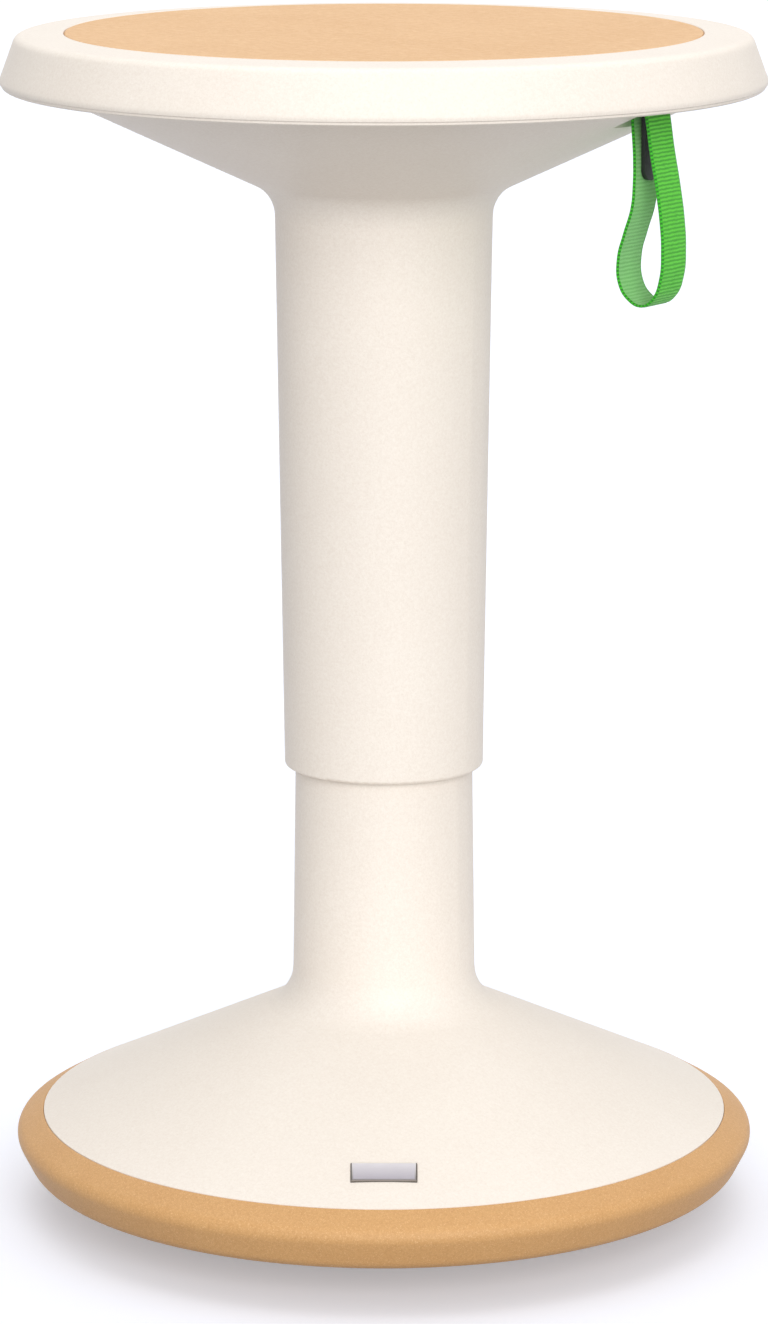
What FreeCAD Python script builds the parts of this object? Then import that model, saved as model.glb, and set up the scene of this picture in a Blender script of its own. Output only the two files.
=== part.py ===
import FreeCAD, Part
import math
import os
import re
import Sketcher

# Wobble stool, millimetres, +Z up, floor at z = 0, the stool's own axis on Z.
# The pull strap and its lever lie along +X. The seat is shown at half its travel.

doc = FreeCAD.newDocument("wobble_stool")

# Driving dimensions
SIZES = {
    # Seat top
    "seat_height": 540.0,
    "seat_radius": 170.0,
    "rim_width": 28.5,
    "pad_thickness": 4.0,
    "pad_gap": 0.3,
    "pad_edge_round": 0.8,
    "deck_thickness": 4.5,
    "rim_depth": 24.6,
    "rim_wall": 3.5,
    "rim_lean": 20.2,
    "crown_slope": 3.0,
    "crown_round": 4.25,
    "lip_round": 3.5,
    "lip_width": 19.0,
    # Seat column: cone and outer tube
    "cone_slope": 25.0,
    "cone_wall": 3.0,
    "column_gap": 0.3,
    "outer_tube_radius": 45.1,
    "column_length": 332.5,
    "outer_tube_wall": 2.8,
    "tube_draft": 0.8,
    "column_round": 16.0,
    "tube_end_round": 1.5,
    "seat_boss_inset": 36.0,
    "seat_boss_radius": 6.0,
    "seat_screw_count": 6,
    "plate_boss_inset": 11.0,
    "plate_boss_radius": 6.5,
    "plate_screw_count": 4,
    "slot_inset": 3.8,
    "slot_length": 18.2,
    "slot_width": 28.0,
    # Fasteners
    "screw_radius": 2.5,
    "screw_head_radius": 5.0,
    "screw_head_height": 3.0,
    "screw_clearance": 0.3,
    "thread_clearance": 0.05,
    "seat_screw_length": 22.0,
    "plate_screw_length": 9.5,
    "base_screw_length": 42.0,
    "drive_radius": 2.0,
    "drive_depth": 1.8,
    "bolt_radius": 3.0,
    "bolt_head_radius": 5.0,
    "bolt_head_height": 4.0,
    "bolt_length": 14.0,
    # Seat mechanism
    "plate_side_gap": 3.6,
    "plate_thickness": 4.0,
    "plate_drop": 52.0,
    "socket_radius": 17.5,
    "socket_length": 54.0,
    "taper_fit": 0.05,
    "pivot_offset": 50.0,
    "pivot_rise": 9.0,
    "lever_pin_radius": 3.0,
    "pin_end": 1.0,
    "pin_fit": 0.05,
    "bracket_base": 3.0,
    "bracket_ear": 3.0,
    "bracket_length": 20.0,
    "bracket_ear_round": 7.0,
    "lever_width": 10.0,
    "lever_height": 8.0,
    "lever_side_gap": 0.4,
    "lever_end": 5.0,
    "pin_throw": 2.5,
    # Gas cylinder
    "cylinder_radius": 14.0,
    "cylinder_bore": 11.5,
    "cylinder_length": 348.0,
    "cylinder_rise": 2.0,
    "cylinder_crimp": 3.0,
    "crimp_hole": 8.0,
    "taper_length": 58.0,
    "taper_top_radius": 13.1,
    "slide_fit": 0.05,
    "rod_guide_length": 12.0,
    "rod_seal_length": 6.0,
    "valve_length": 27.0,
    "valve_floor": 5.0,
    "release_pin_radius": 3.0,
    "touch_gap": 0.3,
    # Pull strap
    "strap_pin_radius": 1.5,
    "strap_pin_inset": 12.5,
    "strap_pin_rise": 9.1,
    "hook_ear_thickness": 3.0,
    "hook_ear_radius": 4.0,
    "hook_bar_drop": 10.5,
    "hook_bar_radius": 2.0,
    "hook_bar_shift": 0.6,
    "tongue_width": 10.0,
    "tongue_thickness": 2.0,
    "tongue_drop": 41.5,
    "strap_width": 20.0,
    "strap_thickness": 1.5,
    "strap_loop_drop": 84.2,
    # Piston rod and swivel bearing
    "rod_radius": 5.0,
    "rod_spigot_radius": 3.0,
    "rod_foot_radius": 4.0,
    "rod_foot_length": 21.0,
    "rod_foot_gap": 0.5,
    "piston_height": 262.0,
    "piston_length": 14.0,
    "rod_nut_length": 3.0,
    "rod_nut_radius": 6.5,
    "bumper_radius": 11.0,
    "bumper_length": 8.0,
    "race_radius": 15.0,
    "race_thickness": 2.5,
    "ball_radius": 1.95,
    "ball_circle": 10.0,
    "ball_count": 8,
    "ball_space": 4.0,
    "cage_thickness": 2.0,
    "cage_side": 4.0,
    "cage_pocket_gap": 0.1,
    "washer_radius": 12.0,
    "washer_thickness": 1.6,
    "clip_radius": 7.0,
    "clip_thickness": 1.2,
    "clip_groove_depth": 1.0,
    # Base
    "cover_edge_height": 46.1,
    "cover_slope": 25.0,
    "cover_wall": 3.0,
    "cover_gap": 0.3,
    "cover_skirt_wall": 3.0,
    "cover_skirt_inset": 7.0,
    "inner_tube_radius": 41.82,
    "inner_tube_wall": 2.8,
    "inner_tube_top": 350.0,
    "cover_round": 20.0,
    "base_boss_circle": 95.0,
    "base_boss_radius": 6.0,
    "base_screw_count": 6,
    "foot_radius": 171.07,
    "foot_top_slope": 29.8,
    "foot_ring_width": 14.07,
    "foot_undercut": 8.77,
    "foot_corner_round": 6.0,
    "foot_bottom_round": 8.9,
    "rocker_radius": 600.0,
    "rocker_flat": 45.0,
    "sole_wall": 5.0,
    "sole_boss_wall": 3.0,
    "sole_boss_root": 1.0,
    "sole_head_wall": 3.0,
    "ballast_inner": 32.0,
    "ballast_outer": 108.0,
    "ballast_height": 12.2,
    "ballast_chamfer": 1.5,
    "base_plate_radius": 70.0,
    "base_plate_thickness": 4.0,
    "base_plate_height": 26.0,
    "bolt_circle": 55.0,
    "bolt_count": 4,
    "standpipe_radius": 25.0,
    "standpipe_wall": 1.5,
    "standpipe_length": 305.0,
    "bush_length": 80.0,
    "bush_flange": 2.0,
    "spacer_length": 12.0,
    "spacer_drop": 13.0,
    # Badge
    "badge_angle": -55.0,
    "badge_inset": 20.9,
    "badge_width": 29.0,
    "badge_height": 11.8,
    "badge_thickness": 1.6,
    "badge_recess": 0.9,
    "badge_bevel": 0.5,
    "badge_gap": 0.15,
}

sheet = doc.addObject("Spreadsheet::Sheet", "Sizes")
for row, (alias, number) in enumerate(SIZES.items(), start=1):
    cell = "A%d" % row
    sheet.set(cell, str(number))
    sheet.setAlias(cell, alias)
doc.recompute()

# Places that follow from the driving dimensions, in the order in which they build on each other
PLACES = {
    # Seat top
    "pad_bottom": "seat_height - pad_thickness",
    "pocket_radius": "seat_radius - rim_width",
    "pad_radius": "pocket_radius - pad_gap",
    "deck_under": "pad_bottom - deck_thickness",
    "lip_bottom": "seat_height - rim_depth",
    "lip_top": "lip_bottom + rim_wall",
    "lean": "tan(rim_lean * 1deg)",
    "lip_corner": "seat_radius + lip_round * (lean + 1 / cos(rim_lean * 1deg) - 1)",
    "crown_fall": "tan(crown_slope * 1deg)",
    "crown_height": "(seat_height - (lip_corner - pocket_radius + lip_bottom * lean) * crown_fall)"
                    " / (1 - lean * crown_fall)",
    "crown_corner": "lip_corner - (crown_height - lip_bottom) * lean",
    "rim_inside": "lip_corner - rim_wall / cos(rim_lean * 1deg)",
    # Seat column
    "lip_inner_radius": "seat_radius - lip_width",
    "outer_tube_end": "seat_height - column_length",
    "seat_boss_circle": "lip_inner_radius - seat_boss_inset",
    "skirt_radius": "lip_inner_radius - column_gap",
    "slot_outer": "lip_inner_radius - slot_inset",
    "slot_inner": "slot_outer - slot_length",
    "cone_rise": "tan(cone_slope * 1deg)",
    "cone_lift": "cone_wall / cos(cone_slope * 1deg)",
    "cone_edge": "lip_bottom + column_gap",
    "draft": "tan(tube_draft * 1deg)",
    "column_corner": "(outer_tube_radius + (cone_edge - skirt_radius * cone_rise - outer_tube_end) * draft)"
                     " / (1 - cone_rise * draft)",
    "column_corner_height": "cone_edge - (skirt_radius - column_corner) * cone_rise",
    "column_inside": "column_corner - outer_tube_wall",
    "column_inside_height": "column_corner_height + cone_lift - outer_tube_wall * cone_rise",
    # Seat mechanism
    "plate_top": "seat_height - plate_drop",
    "plate_bottom": "plate_top - plate_thickness",
    "plate_radius": "skirt_radius - (cone_edge - plate_bottom) / cone_rise"
                    " - cone_wall / sin(cone_slope * 1deg) - plate_side_gap",
    "plate_boss_circle": "plate_radius - plate_boss_inset",
    "cylinder_top": "plate_top + cylinder_rise",
    "cylinder_bottom": "cylinder_top - cylinder_length",
    "taper_start": "cylinder_top - taper_length",
    "taper_step": "(cylinder_radius - taper_top_radius) / taper_length",
    "socket_bottom": "plate_bottom - socket_length",
    "bearing_height": "base_plate_height + base_plate_thickness",
    "pivot_height": "plate_top + pivot_rise",
    "strap_pin_place": "lip_inner_radius - strap_pin_inset",
    "strap_pin_height": "lip_bottom + strap_pin_rise",
    "lever_reach": "strap_pin_place + pivot_offset",
    "lever_slope": "(strap_pin_height - pivot_height) / lever_reach",
    "lever_stretch": "sqrt(1 + lever_slope * lever_slope)",
    "valve_top": "cylinder_top - cylinder_crimp",
    "valve_bottom": "valve_top - valve_length",
    "release_pin_bottom": "valve_bottom + valve_floor + pin_throw + touch_gap",
    "release_pin_top": "pivot_height + (pivot_offset - release_pin_radius) * lever_slope"
                       " - lever_height / 2 * lever_stretch - touch_gap",
    "hook_inside": "max(lever_width / 2 + lever_side_gap; strap_width / 2 + touch_gap)",
    "hook_outside": "hook_inside + hook_ear_thickness",
    "hook_bar_height": "strap_pin_height - hook_bar_drop",
    "hook_bar_place": "strap_pin_place + hook_bar_shift",
    # Base
    "cover_edge_radius": "foot_radius - foot_ring_width",
    "foot_bottom_radius": "foot_radius - foot_undercut",
    "cover_skirt_radius": "cover_edge_radius - cover_skirt_inset",
    "badge_place": "cover_edge_radius - badge_inset",
    "cover_rise": "tan(cover_slope * 1deg)",
    "cover_lift": "cover_wall / cos(cover_slope * 1deg)",
    "cover_corner_height": "cover_edge_height + (cover_edge_radius - inner_tube_radius) * cover_rise",
    "cover_tube_top": "inner_tube_radius - (inner_tube_top - cover_corner_height) * draft",
    "cover_inside": "inner_tube_radius - inner_tube_wall",
    "cover_inside_height": "cover_corner_height - cover_lift + inner_tube_wall * cover_rise",
    "cover_skirt_inner": "cover_skirt_radius - cover_skirt_wall",
    "ballast_bottom": "base_plate_height - ballast_height",
    "rocker_centre": "sqrt(rocker_radius * rocker_radius - rocker_flat * rocker_flat)",
    "sole_inside_radius": "rocker_radius - sole_wall",
    "foot_bottom_height": "rocker_centre - sqrt(rocker_radius * rocker_radius"
                          " - foot_bottom_radius * foot_bottom_radius)",
    "foot_top_height": "cover_edge_height - (foot_radius - cover_edge_radius) * tan(foot_top_slope * 1deg)",
    "sole_ledge": "cover_edge_height - cover_lift",
    "sole_bore": "cover_skirt_radius + cover_gap",
    "sole_edge": "cover_edge_radius + badge_gap",
    "sole_flat": "sqrt(sole_inside_radius * sole_inside_radius"
                 " - (rocker_centre - sole_wall) * (rocker_centre - sole_wall))",
    "sole_rise": "rocker_centre - sqrt(sole_inside_radius * sole_inside_radius - sole_bore * sole_bore)",
    "cover_skirt_bottom": "sole_rise + cover_gap",
    "standpipe_top": "bearing_height + standpipe_length",
    "standpipe_bore": "standpipe_radius - standpipe_wall",
    "bush_radius": "standpipe_bore - slide_fit",
    "bush_bore": "cylinder_radius + slide_fit",
    "spacer_top": "standpipe_top - spacer_drop",
    "spacer_radius": "cover_tube_top + (inner_tube_top - spacer_top) * draft - inner_tube_wall - slide_fit",
    # Piston rod and swivel bearing
    "ball_height": "bearing_height + race_thickness + ball_space / 2",
    "upper_race_bottom": "bearing_height + race_thickness + ball_space",
    "rod_shoulder": "upper_race_bottom + race_thickness",
    "rod_foot": "rod_shoulder - rod_foot_length",
    "piston_radius": "cylinder_bore - slide_fit",
    "piston_top": "piston_height + piston_length",
    "clip_bottom": "base_plate_height - washer_thickness - clip_thickness",
}

FLOAT = "App::PropertyFloat"
places = doc.addObject("App::VarSet", "Places")


def bound(text):
    """The text with each size and place named in full, as an expression reads it."""
    def full_name(match):
        name = match.group()
        if name in SIZES:
            return "Sizes." + name
        if name in PLACES:
            return "Places." + name
        return name
    return re.sub(r"[a-z][a-z0-9_]*", full_name, str(text))


for place, formula in PLACES.items():
    places.addProperty(FLOAT, place)
    places.setExpression(place, bound(formula).replace("Places.", ""))
doc.recompute()


def value(text):
    """The number that an expression gives now."""
    return float(sheet.evalExpression(bound(text)))


# Bodies, sketches and features
def new_body(label):
    body = doc.addObject("PartDesign::Body", label)
    body.Label = label
    return body


def origin_item(body, role):
    for item in body.Origin.OriginFeatures:
        if item.Role == role:
            return item
    raise ValueError(role)


def new_sketch(body, name, plane, offset="0"):
    """A sketch on one of the body's origin planes, moved along the plane's normal."""
    sketch = body.newObject("Sketcher::SketchObject", name)
    sketch.AttachmentSupport = (origin_item(body, plane), [""])
    sketch.MapMode = "FlatFace"
    sketch.setExpression("AttachmentOffset.Base.z", bound(offset))
    return sketch


def place_point(sketch, geometry, position, x_text, y_text):
    """Fix a point of the sketch at a named place."""
    for kind, text in (("DistanceX", x_text), ("DistanceY", y_text)):
        number = value(text)
        constraint = sketch.addConstraint(Sketcher.Constraint(kind, -1, 1, geometry, position, number))
        sketch.setExpression("Constraints[%d]" % constraint, bound(text))


def arc_between(start, end, radius):
    """The short arc from start to end; a positive radius bulges to the right of the way there."""
    chord = end - start
    middle = (start + end) * 0.5
    side = FreeCAD.Vector(-chord.y, chord.x, 0).normalize()
    reach = math.sqrt(radius * radius - chord.Length ** 2 / 4)
    turn = 1 if radius > 0 else -1
    centre = middle + side * (reach * turn)
    first, last = (start, end) if turn > 0 else (end, start)
    angles = [math.atan2(point.y - centre.y, point.x - centre.x) for point in (first, last)]
    circle = Part.Circle(centre, FreeCAD.Vector(0, 0, 1), abs(radius))
    return Part.ArcOfCircle(circle, angles[0], angles[1]), turn


def draw_outline(sketch, corners, arcs=None):
    """A closed outline through the corners; arcs gives a radius for the edge after a corner."""
    arcs = arcs or {}
    points = [FreeCAD.Vector(value(x_text), value(y_text), 0) for x_text, y_text in corners]
    starts = []
    ends = []
    for index, point in enumerate(points):
        following = points[(index + 1) % len(points)]
        if index in arcs:
            geometry, turn = arc_between(point, following, value(arcs[index]))
            edge = sketch.addGeometry(geometry, False)
            constraint = sketch.addConstraint(
                Sketcher.Constraint("Radius", edge, abs(value(arcs[index]))))
            sketch.setExpression("Constraints[%d]" % constraint, bound("abs(%s)" % arcs[index]))
        else:
            edge = sketch.addGeometry(Part.LineSegment(point, following), False)
            turn = 1
        starts.append((edge, 1 if turn > 0 else 2))
        ends.append((edge, 2 if turn > 0 else 1))
    for index, end in enumerate(ends):
        start = starts[(index + 1) % len(starts)]
        sketch.addConstraint(Sketcher.Constraint("Coincident", end[0], end[1], start[0], start[1]))
    for start, (x_text, y_text) in zip(starts, corners):
        place_point(sketch, start[0], start[1], x_text, y_text)


def draw_circle(sketch, x_text, y_text, radius):
    centre = FreeCAD.Vector(value(x_text), value(y_text), 0)
    circle = Part.Circle(centre, FreeCAD.Vector(0, 0, 1), value(radius))
    geometry = sketch.addGeometry(circle, False)
    constraint = sketch.addConstraint(Sketcher.Constraint("Radius", geometry, value(radius)))
    sketch.setExpression("Constraints[%d]" % constraint, bound(radius))
    place_point(sketch, geometry, 3, x_text, y_text)


def draw_box(sketch, x_low, x_high, y_low, y_high):
    draw_outline(sketch, [(x_low, y_low), (x_high, y_low), (x_high, y_high), (x_low, y_high)])


def draw_hexagon(sketch, x_text, y_text, radius):
    corners = []
    for step in range(6):
        angle = "%d * 60deg" % step
        corners.append(("%s + %s * cos(%s)" % (x_text, radius, angle),
                        "%s + %s * sin(%s)" % (y_text, radius, angle)))
    draw_outline(sketch, corners)


def revolve(body, name, corners, arcs=None, kind="Revolution"):
    """Turn an outline of (radius, height) corners round the body's Z axis."""
    sketch = new_sketch(body, name + "_outline", "XZ_Plane")
    draw_outline(sketch, corners, arcs)
    feature = body.newObject("PartDesign::" + kind, name)
    feature.Profile = sketch
    feature.ReferenceAxis = (sketch, ["V_Axis"])
    feature.Angle = 360
    doc.recompute()
    return feature


def turn_about(body, name, axis_place, corners):
    """Turn an outline of (distance, height) corners round an upright line beside the Z axis."""
    sketch = new_sketch(body, name + "_outline", "XZ_Plane")
    draw_outline(sketch, [("%s + %s" % (axis_place, x_text), y_text) for x_text, y_text in corners])
    low = FreeCAD.Vector(value(axis_place), value(corners[0][1]), 0)
    high = low + FreeCAD.Vector(0, value("screw_radius"), 0)
    line = sketch.addGeometry(Part.LineSegment(low, high), True)
    place_point(sketch, line, 1, axis_place, corners[0][1])
    place_point(sketch, line, 2, axis_place, corners[0][1] + " + screw_radius")
    feature = body.newObject("PartDesign::Revolution", name)
    feature.Profile = sketch
    feature.ReferenceAxis = (sketch, ["Axis0"])
    feature.Angle = 360
    doc.recompute()
    return feature


def pad(body, sketch, name, length, reverse=False, both_ways=False):
    feature = body.newObject("PartDesign::Pad", name)
    feature.Profile = sketch
    feature.setExpression("Length", bound(length))
    feature.Reversed = reverse
    if both_ways:
        feature.SideType = "Symmetric"
    doc.recompute()
    return feature


def cut(body, sketch, name, length, reverse=False, both_ways=False):
    """A pocket that must take material away."""
    before = body.Shape.Volume
    feature = body.newObject("PartDesign::Pocket", name)
    feature.Profile = sketch
    feature.setExpression("Length", bound(length))
    feature.Reversed = reverse
    if both_ways:
        feature.SideType = "Symmetric"
    doc.recompute()
    if feature.Shape.Volume >= before:
        raise ValueError(name + " cuts nothing")
    return feature


def groove(body, name, corners):
    """Turn an outline round the Z axis and take it away."""
    return revolve(body, name, corners, kind="Groove")


def polar(body, name, features, count):
    """Repeat features evenly round the body's Z axis."""
    pattern = body.newObject("PartDesign::PolarPattern", name)
    pattern.Originals = features
    pattern.Axis = (origin_item(body, "Z_Axis"), [""])
    pattern.Angle = 360
    pattern.setExpression("Occurrences", bound(count))
    body.Tip = pattern
    doc.recompute()
    return pattern


def ring_edges(shape, rings):
    """Names of the circular edges that lie on the given (radius, height) rings round Z."""
    wanted = [(value(radius), value(height)) for radius, height in rings]
    names = []
    for index, edge in enumerate(shape.Edges, start=1):
        curve = edge.Curve
        if not isinstance(curve, Part.Circle):
            continue
        if math.hypot(curve.Center.x, curve.Center.y) > 0.01:
            continue
        for radius, height in wanted:
            if abs(curve.Radius - radius) < 0.01 and abs(curve.Center.z - height) < 0.01:
                names.append("Edge%d" % index)
    if len(names) < len(wanted):
        raise ValueError("ring edges missing: %s" % rings)
    return names


def dress(body, kind, name, base, edges, dimension, text):
    """Fillet or chamfer named edges."""
    feature = body.newObject("PartDesign::" + kind, name)
    feature.Base = (base, edges)
    feature.setExpression(dimension, bound(text))
    doc.recompute()
    return feature


def fillet_rings(body, name, base, rings, radius):
    return dress(body, "Fillet", name, base, ring_edges(base.Shape, rings), "Radius", radius)


def chamfer_rings(body, name, base, rings, width):
    return dress(body, "Chamfer", name, base, ring_edges(base.Shape, rings), "Size", width)


def edges_along(shape, direction):
    """Names of the straight edges along a direction."""
    names = []
    for index, edge in enumerate(shape.Edges, start=1):
        if not isinstance(edge.Curve, (Part.Line, Part.LineSegment)):
            continue
        if abs(edge.tangentAt(edge.FirstParameter).dot(direction)) < 0.999:
            continue
        names.append("Edge%d" % index)
    return names


def tube_piece(label, inner, outer, low, high):
    """A plain ring or tube round the Z axis."""
    body = new_body(label)
    revolve(body, label + "_ring", [(inner, low), (outer, low), (outer, high), (inner, high)])
    return body


def pin_along_y(label, x_text, z_text, radius, length):
    """A pin across the stool, its ends chamfered."""
    body = new_body(label)
    sketch = new_sketch(body, label + "_circle", "XZ_Plane")
    draw_circle(sketch, x_text, z_text, radius)
    shank = pad(body, sketch, label + "_shank", length, both_ways=True)
    edges = ["Edge%d" % index for index, edge in enumerate(shank.Shape.Edges, start=1)
             if isinstance(edge.Curve, Part.Circle)]
    dress(body, "Chamfer", label + "_ends", shank, edges, "Size", "%s * 0.2" % radius)
    return body


def screw_ring(label, circle, count, angle, head_side, head_face, length):
    """Screws on a circle, heads up (head_side 1) or down (-1), on the face that the heads bear on."""
    body = new_body(label)
    body.AllowCompound = True
    side = "%d" % head_side
    tip = "%s - %s * %s" % (head_face, side, length)
    crown = "%s + %s * screw_head_height" % (head_face, side)
    turn_about(body, label + "_screw", circle, [
        ("0", tip),
        ("screw_radius * 0.4", tip),
        ("screw_radius", "%s + %s * screw_radius" % (tip, side)),
        ("screw_radius", head_face),
        ("screw_head_radius", head_face),
        ("screw_head_radius", crown),
        ("0", crown),
    ])
    drive = new_sketch(body, label + "_drive", "XY_Plane", crown)
    draw_hexagon(drive, circle, "0", "drive_radius")
    cut(body, drive, label + "_socket", "drive_depth", reverse=head_side < 0)
    polar(body, label + "_ring", [body.Group[-3], body.Group[-1]], count)
    body.Placement = FreeCAD.Placement(FreeCAD.Vector(), FreeCAD.Rotation(FreeCAD.Vector(0, 0, 1), angle))
    return body


def hole_ring(body, name, circle, angle, radius, low, depth, count):
    """Round holes on a circle, cut upward from a height."""
    sketch = new_sketch(body, name + "_circle", "XY_Plane", low)
    draw_circle(sketch, "%s * cos(%sdeg)" % (circle, angle), "%s * sin(%sdeg)" % (circle, angle), radius)
    hole = cut(body, sketch, name + "_hole", depth, reverse=True)
    return polar(body, name, [hole], count)


SEAT_SCREW_ANGLE = 30
PLATE_SCREW_ANGLE = 45
BASE_SCREW_ANGLE = 30
BOLT_ANGLE = 45
CROSSWISE = FreeCAD.Vector(0, 1, 0)


# Seat
def make_seat_pad():
    body = new_body("seat_pad")
    disc = revolve(body, "pad_disc", [
        ("0", "pad_bottom"),
        ("pad_radius", "pad_bottom"),
        ("pad_radius", "seat_height"),
        ("0", "seat_height"),
    ])
    fillet_rings(body, "pad_edge", disc, [("pad_radius", "seat_height")], "pad_edge_round")


def make_seat_shell():
    """The rim with its rolled-under lip, and the deck that carries the pad."""
    body = new_body("seat_shell")
    shell = revolve(body, "shell_section", [
        ("0", "deck_under"),
        ("rim_inside - (deck_under - lip_bottom) * lean", "deck_under"),
        ("rim_inside - rim_wall * lean", "lip_top"),
        ("lip_inner_radius", "lip_top"),
        ("lip_inner_radius", "lip_bottom"),
        ("lip_corner", "lip_bottom"),
        ("crown_corner", "crown_height"),
        ("pocket_radius", "seat_height"),
        ("pocket_radius", "pad_bottom"),
        ("0", "pad_bottom"),
    ])
    lip = fillet_rings(body, "lip", shell, [("lip_corner", "lip_bottom")], "lip_round")
    crown = fillet_rings(body, "crown", lip, [("crown_corner", "crown_height")], "crown_round")
    fillet_rings(body, "edges", crown,
                 [("pocket_radius", "seat_height"), ("lip_inner_radius", "lip_bottom")],
                 "min(0.6; rim_wall / 4)")
    hole_ring(body, "screw_holes", "seat_boss_circle", SEAT_SCREW_ANGLE,
              "screw_radius + screw_clearance", "deck_under", "deck_thickness", "seat_screw_count")
    hole_ring(body, "head_seats", "seat_boss_circle", SEAT_SCREW_ANGLE,
              "screw_head_radius + screw_clearance", "pad_bottom - screw_head_height",
              "screw_head_height", "seat_screw_count")


def make_seat_column():
    """The cone under the seat and the outer tube, in one moulding."""
    body = new_body("seat_column")
    revolve(body, "column_section", [
        ("outer_tube_radius - outer_tube_wall", "outer_tube_end"),
        ("outer_tube_radius", "outer_tube_end"),
        ("column_corner", "column_corner_height"),
        ("skirt_radius", "cone_edge"),
        ("skirt_radius", "deck_under"),
        ("skirt_radius - cone_wall", "deck_under"),
        ("skirt_radius - cone_wall", "cone_edge - cone_wall * cone_rise + cone_lift"),
        ("column_inside", "column_inside_height"),
    ])
    slot = new_sketch(body, "strap_slot_sketch", "XY_Plane", "deck_under")
    draw_box(slot, "slot_inner", "slot_outer", "-slot_width / 2", "slot_width / 2")
    cut(body, slot, "strap_slot", "deck_under - column_corner_height")
    seat_bosses = new_sketch(body, "seat_boss_circle_sketch", "XY_Plane", "deck_under")
    draw_circle(seat_bosses, "seat_boss_circle * cos(%ddeg)" % SEAT_SCREW_ANGLE,
                "seat_boss_circle * sin(%ddeg)" % SEAT_SCREW_ANGLE, "seat_boss_radius")
    seat_boss = pad(
        body, seat_bosses, "seat_boss",
        "deck_under - cone_edge + (skirt_radius - seat_boss_circle + seat_boss_radius) * cone_rise",
        reverse=True)
    polar(body, "seat_boss_ring", [seat_boss], "seat_screw_count")
    plate_bosses = new_sketch(body, "plate_boss_circle_sketch", "XY_Plane", "plate_bottom")
    draw_circle(plate_bosses, "plate_boss_circle * cos(%ddeg)" % PLATE_SCREW_ANGLE,
                "plate_boss_circle * sin(%ddeg)" % PLATE_SCREW_ANGLE, "plate_boss_radius")
    plate_boss = pad(body, plate_bosses, "plate_boss",
                     "plate_bottom - cone_edge + (skirt_radius - plate_boss_circle + plate_boss_radius)"
                     " * cone_rise", reverse=True)
    polar(body, "plate_boss_ring", [plate_boss], "plate_screw_count")
    trimmed = groove(body, "boss_trim", [
        ("column_corner + cone_wall", "column_corner_height + cone_wall * cone_rise"),
        ("skirt_radius + cone_wall", "cone_edge + cone_wall * cone_rise"),
        ("skirt_radius + cone_wall", "column_corner_height - column_round"),
        ("column_corner + cone_wall", "column_corner_height - column_round"),
    ])
    outside = fillet_rings(body, "column_outside_round", trimmed,
                           [("column_corner", "column_corner_height")], "column_round")
    inside = fillet_rings(body, "column_inside_round", outside,
                          [("column_inside", "column_inside_height")], "column_round + outer_tube_wall")
    fillet_rings(body, "tube_end", inside, [("outer_tube_radius", "outer_tube_end")],
                 "min(tube_end_round; outer_tube_wall * 0.6)")
    hole_ring(body, "seat_screw_bores", "seat_boss_circle", SEAT_SCREW_ANGLE,
              "screw_radius + thread_clearance", "deck_under - seat_screw_length", "seat_screw_length",
              "seat_screw_count")
    hole_ring(body, "plate_screw_bores", "plate_boss_circle", PLATE_SCREW_ANGLE,
              "screw_radius + thread_clearance", "plate_top - plate_screw_length", "plate_screw_length",
              "plate_screw_count")


# Seat mechanism
def make_mount_plate():
    body = new_body("mount_plate")
    revolve(body, "plate_disc", [
        ("taper_top_radius + taper_step * (cylinder_rise + plate_thickness) + taper_fit", "plate_bottom"),
        ("plate_radius", "plate_bottom"),
        ("plate_radius", "plate_top"),
        ("taper_top_radius + taper_step * cylinder_rise + taper_fit", "plate_top"),
    ])
    hole_ring(body, "plate_holes", "plate_boss_circle", PLATE_SCREW_ANGLE,
              "screw_radius + screw_clearance", "plate_bottom", "plate_thickness", "plate_screw_count")


def make_taper_socket():
    """The steel cone that grips the top of the gas cylinder."""
    body = new_body("taper_socket")
    revolve(body, "socket_section", [
        ("taper_top_radius + taper_step * (cylinder_top - socket_bottom) + taper_fit", "socket_bottom"),
        ("socket_radius", "socket_bottom"),
        ("socket_radius", "plate_bottom"),
        ("taper_top_radius + taper_step * (cylinder_rise + plate_thickness) + taper_fit", "plate_bottom"),
    ])


def make_lever_bracket():
    body = new_body("lever_bracket")
    side = new_sketch(body, "bracket_side", "XZ_Plane")
    draw_outline(side, [
        ("-pivot_offset - bracket_length / 2", "plate_top"),
        ("-pivot_offset + bracket_length / 2", "plate_top"),
        ("-pivot_offset + bracket_length / 2", "plate_top + bracket_base"),
        ("-pivot_offset + bracket_ear_round", "pivot_height"),
        ("-pivot_offset + bracket_ear_round * 0.7", "pivot_height + bracket_ear_round * 0.75"),
        ("-pivot_offset - bracket_ear_round * 0.7", "pivot_height + bracket_ear_round * 0.75"),
        ("-pivot_offset - bracket_ear_round", "pivot_height"),
        ("-pivot_offset - bracket_length / 2", "plate_top + bracket_base"),
    ])
    pad(body, side, "bracket_block", "lever_width + 2 * (lever_side_gap + bracket_ear)", both_ways=True)
    channel = new_sketch(body, "bracket_channel_sketch", "XZ_Plane")
    draw_box(channel, "-pivot_offset - bracket_length", "-pivot_offset + bracket_length",
             "plate_top + bracket_base", "pivot_height + 2 * bracket_ear_round")
    cut(body, channel, "bracket_channel", "lever_width + 2 * lever_side_gap", both_ways=True)
    eye = new_sketch(body, "bracket_eye_sketch", "XZ_Plane")
    draw_circle(eye, "-pivot_offset", "pivot_height", "lever_pin_radius + pin_fit")
    cut(body, eye, "bracket_eyes", "lever_width * 4", both_ways=True)


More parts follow.
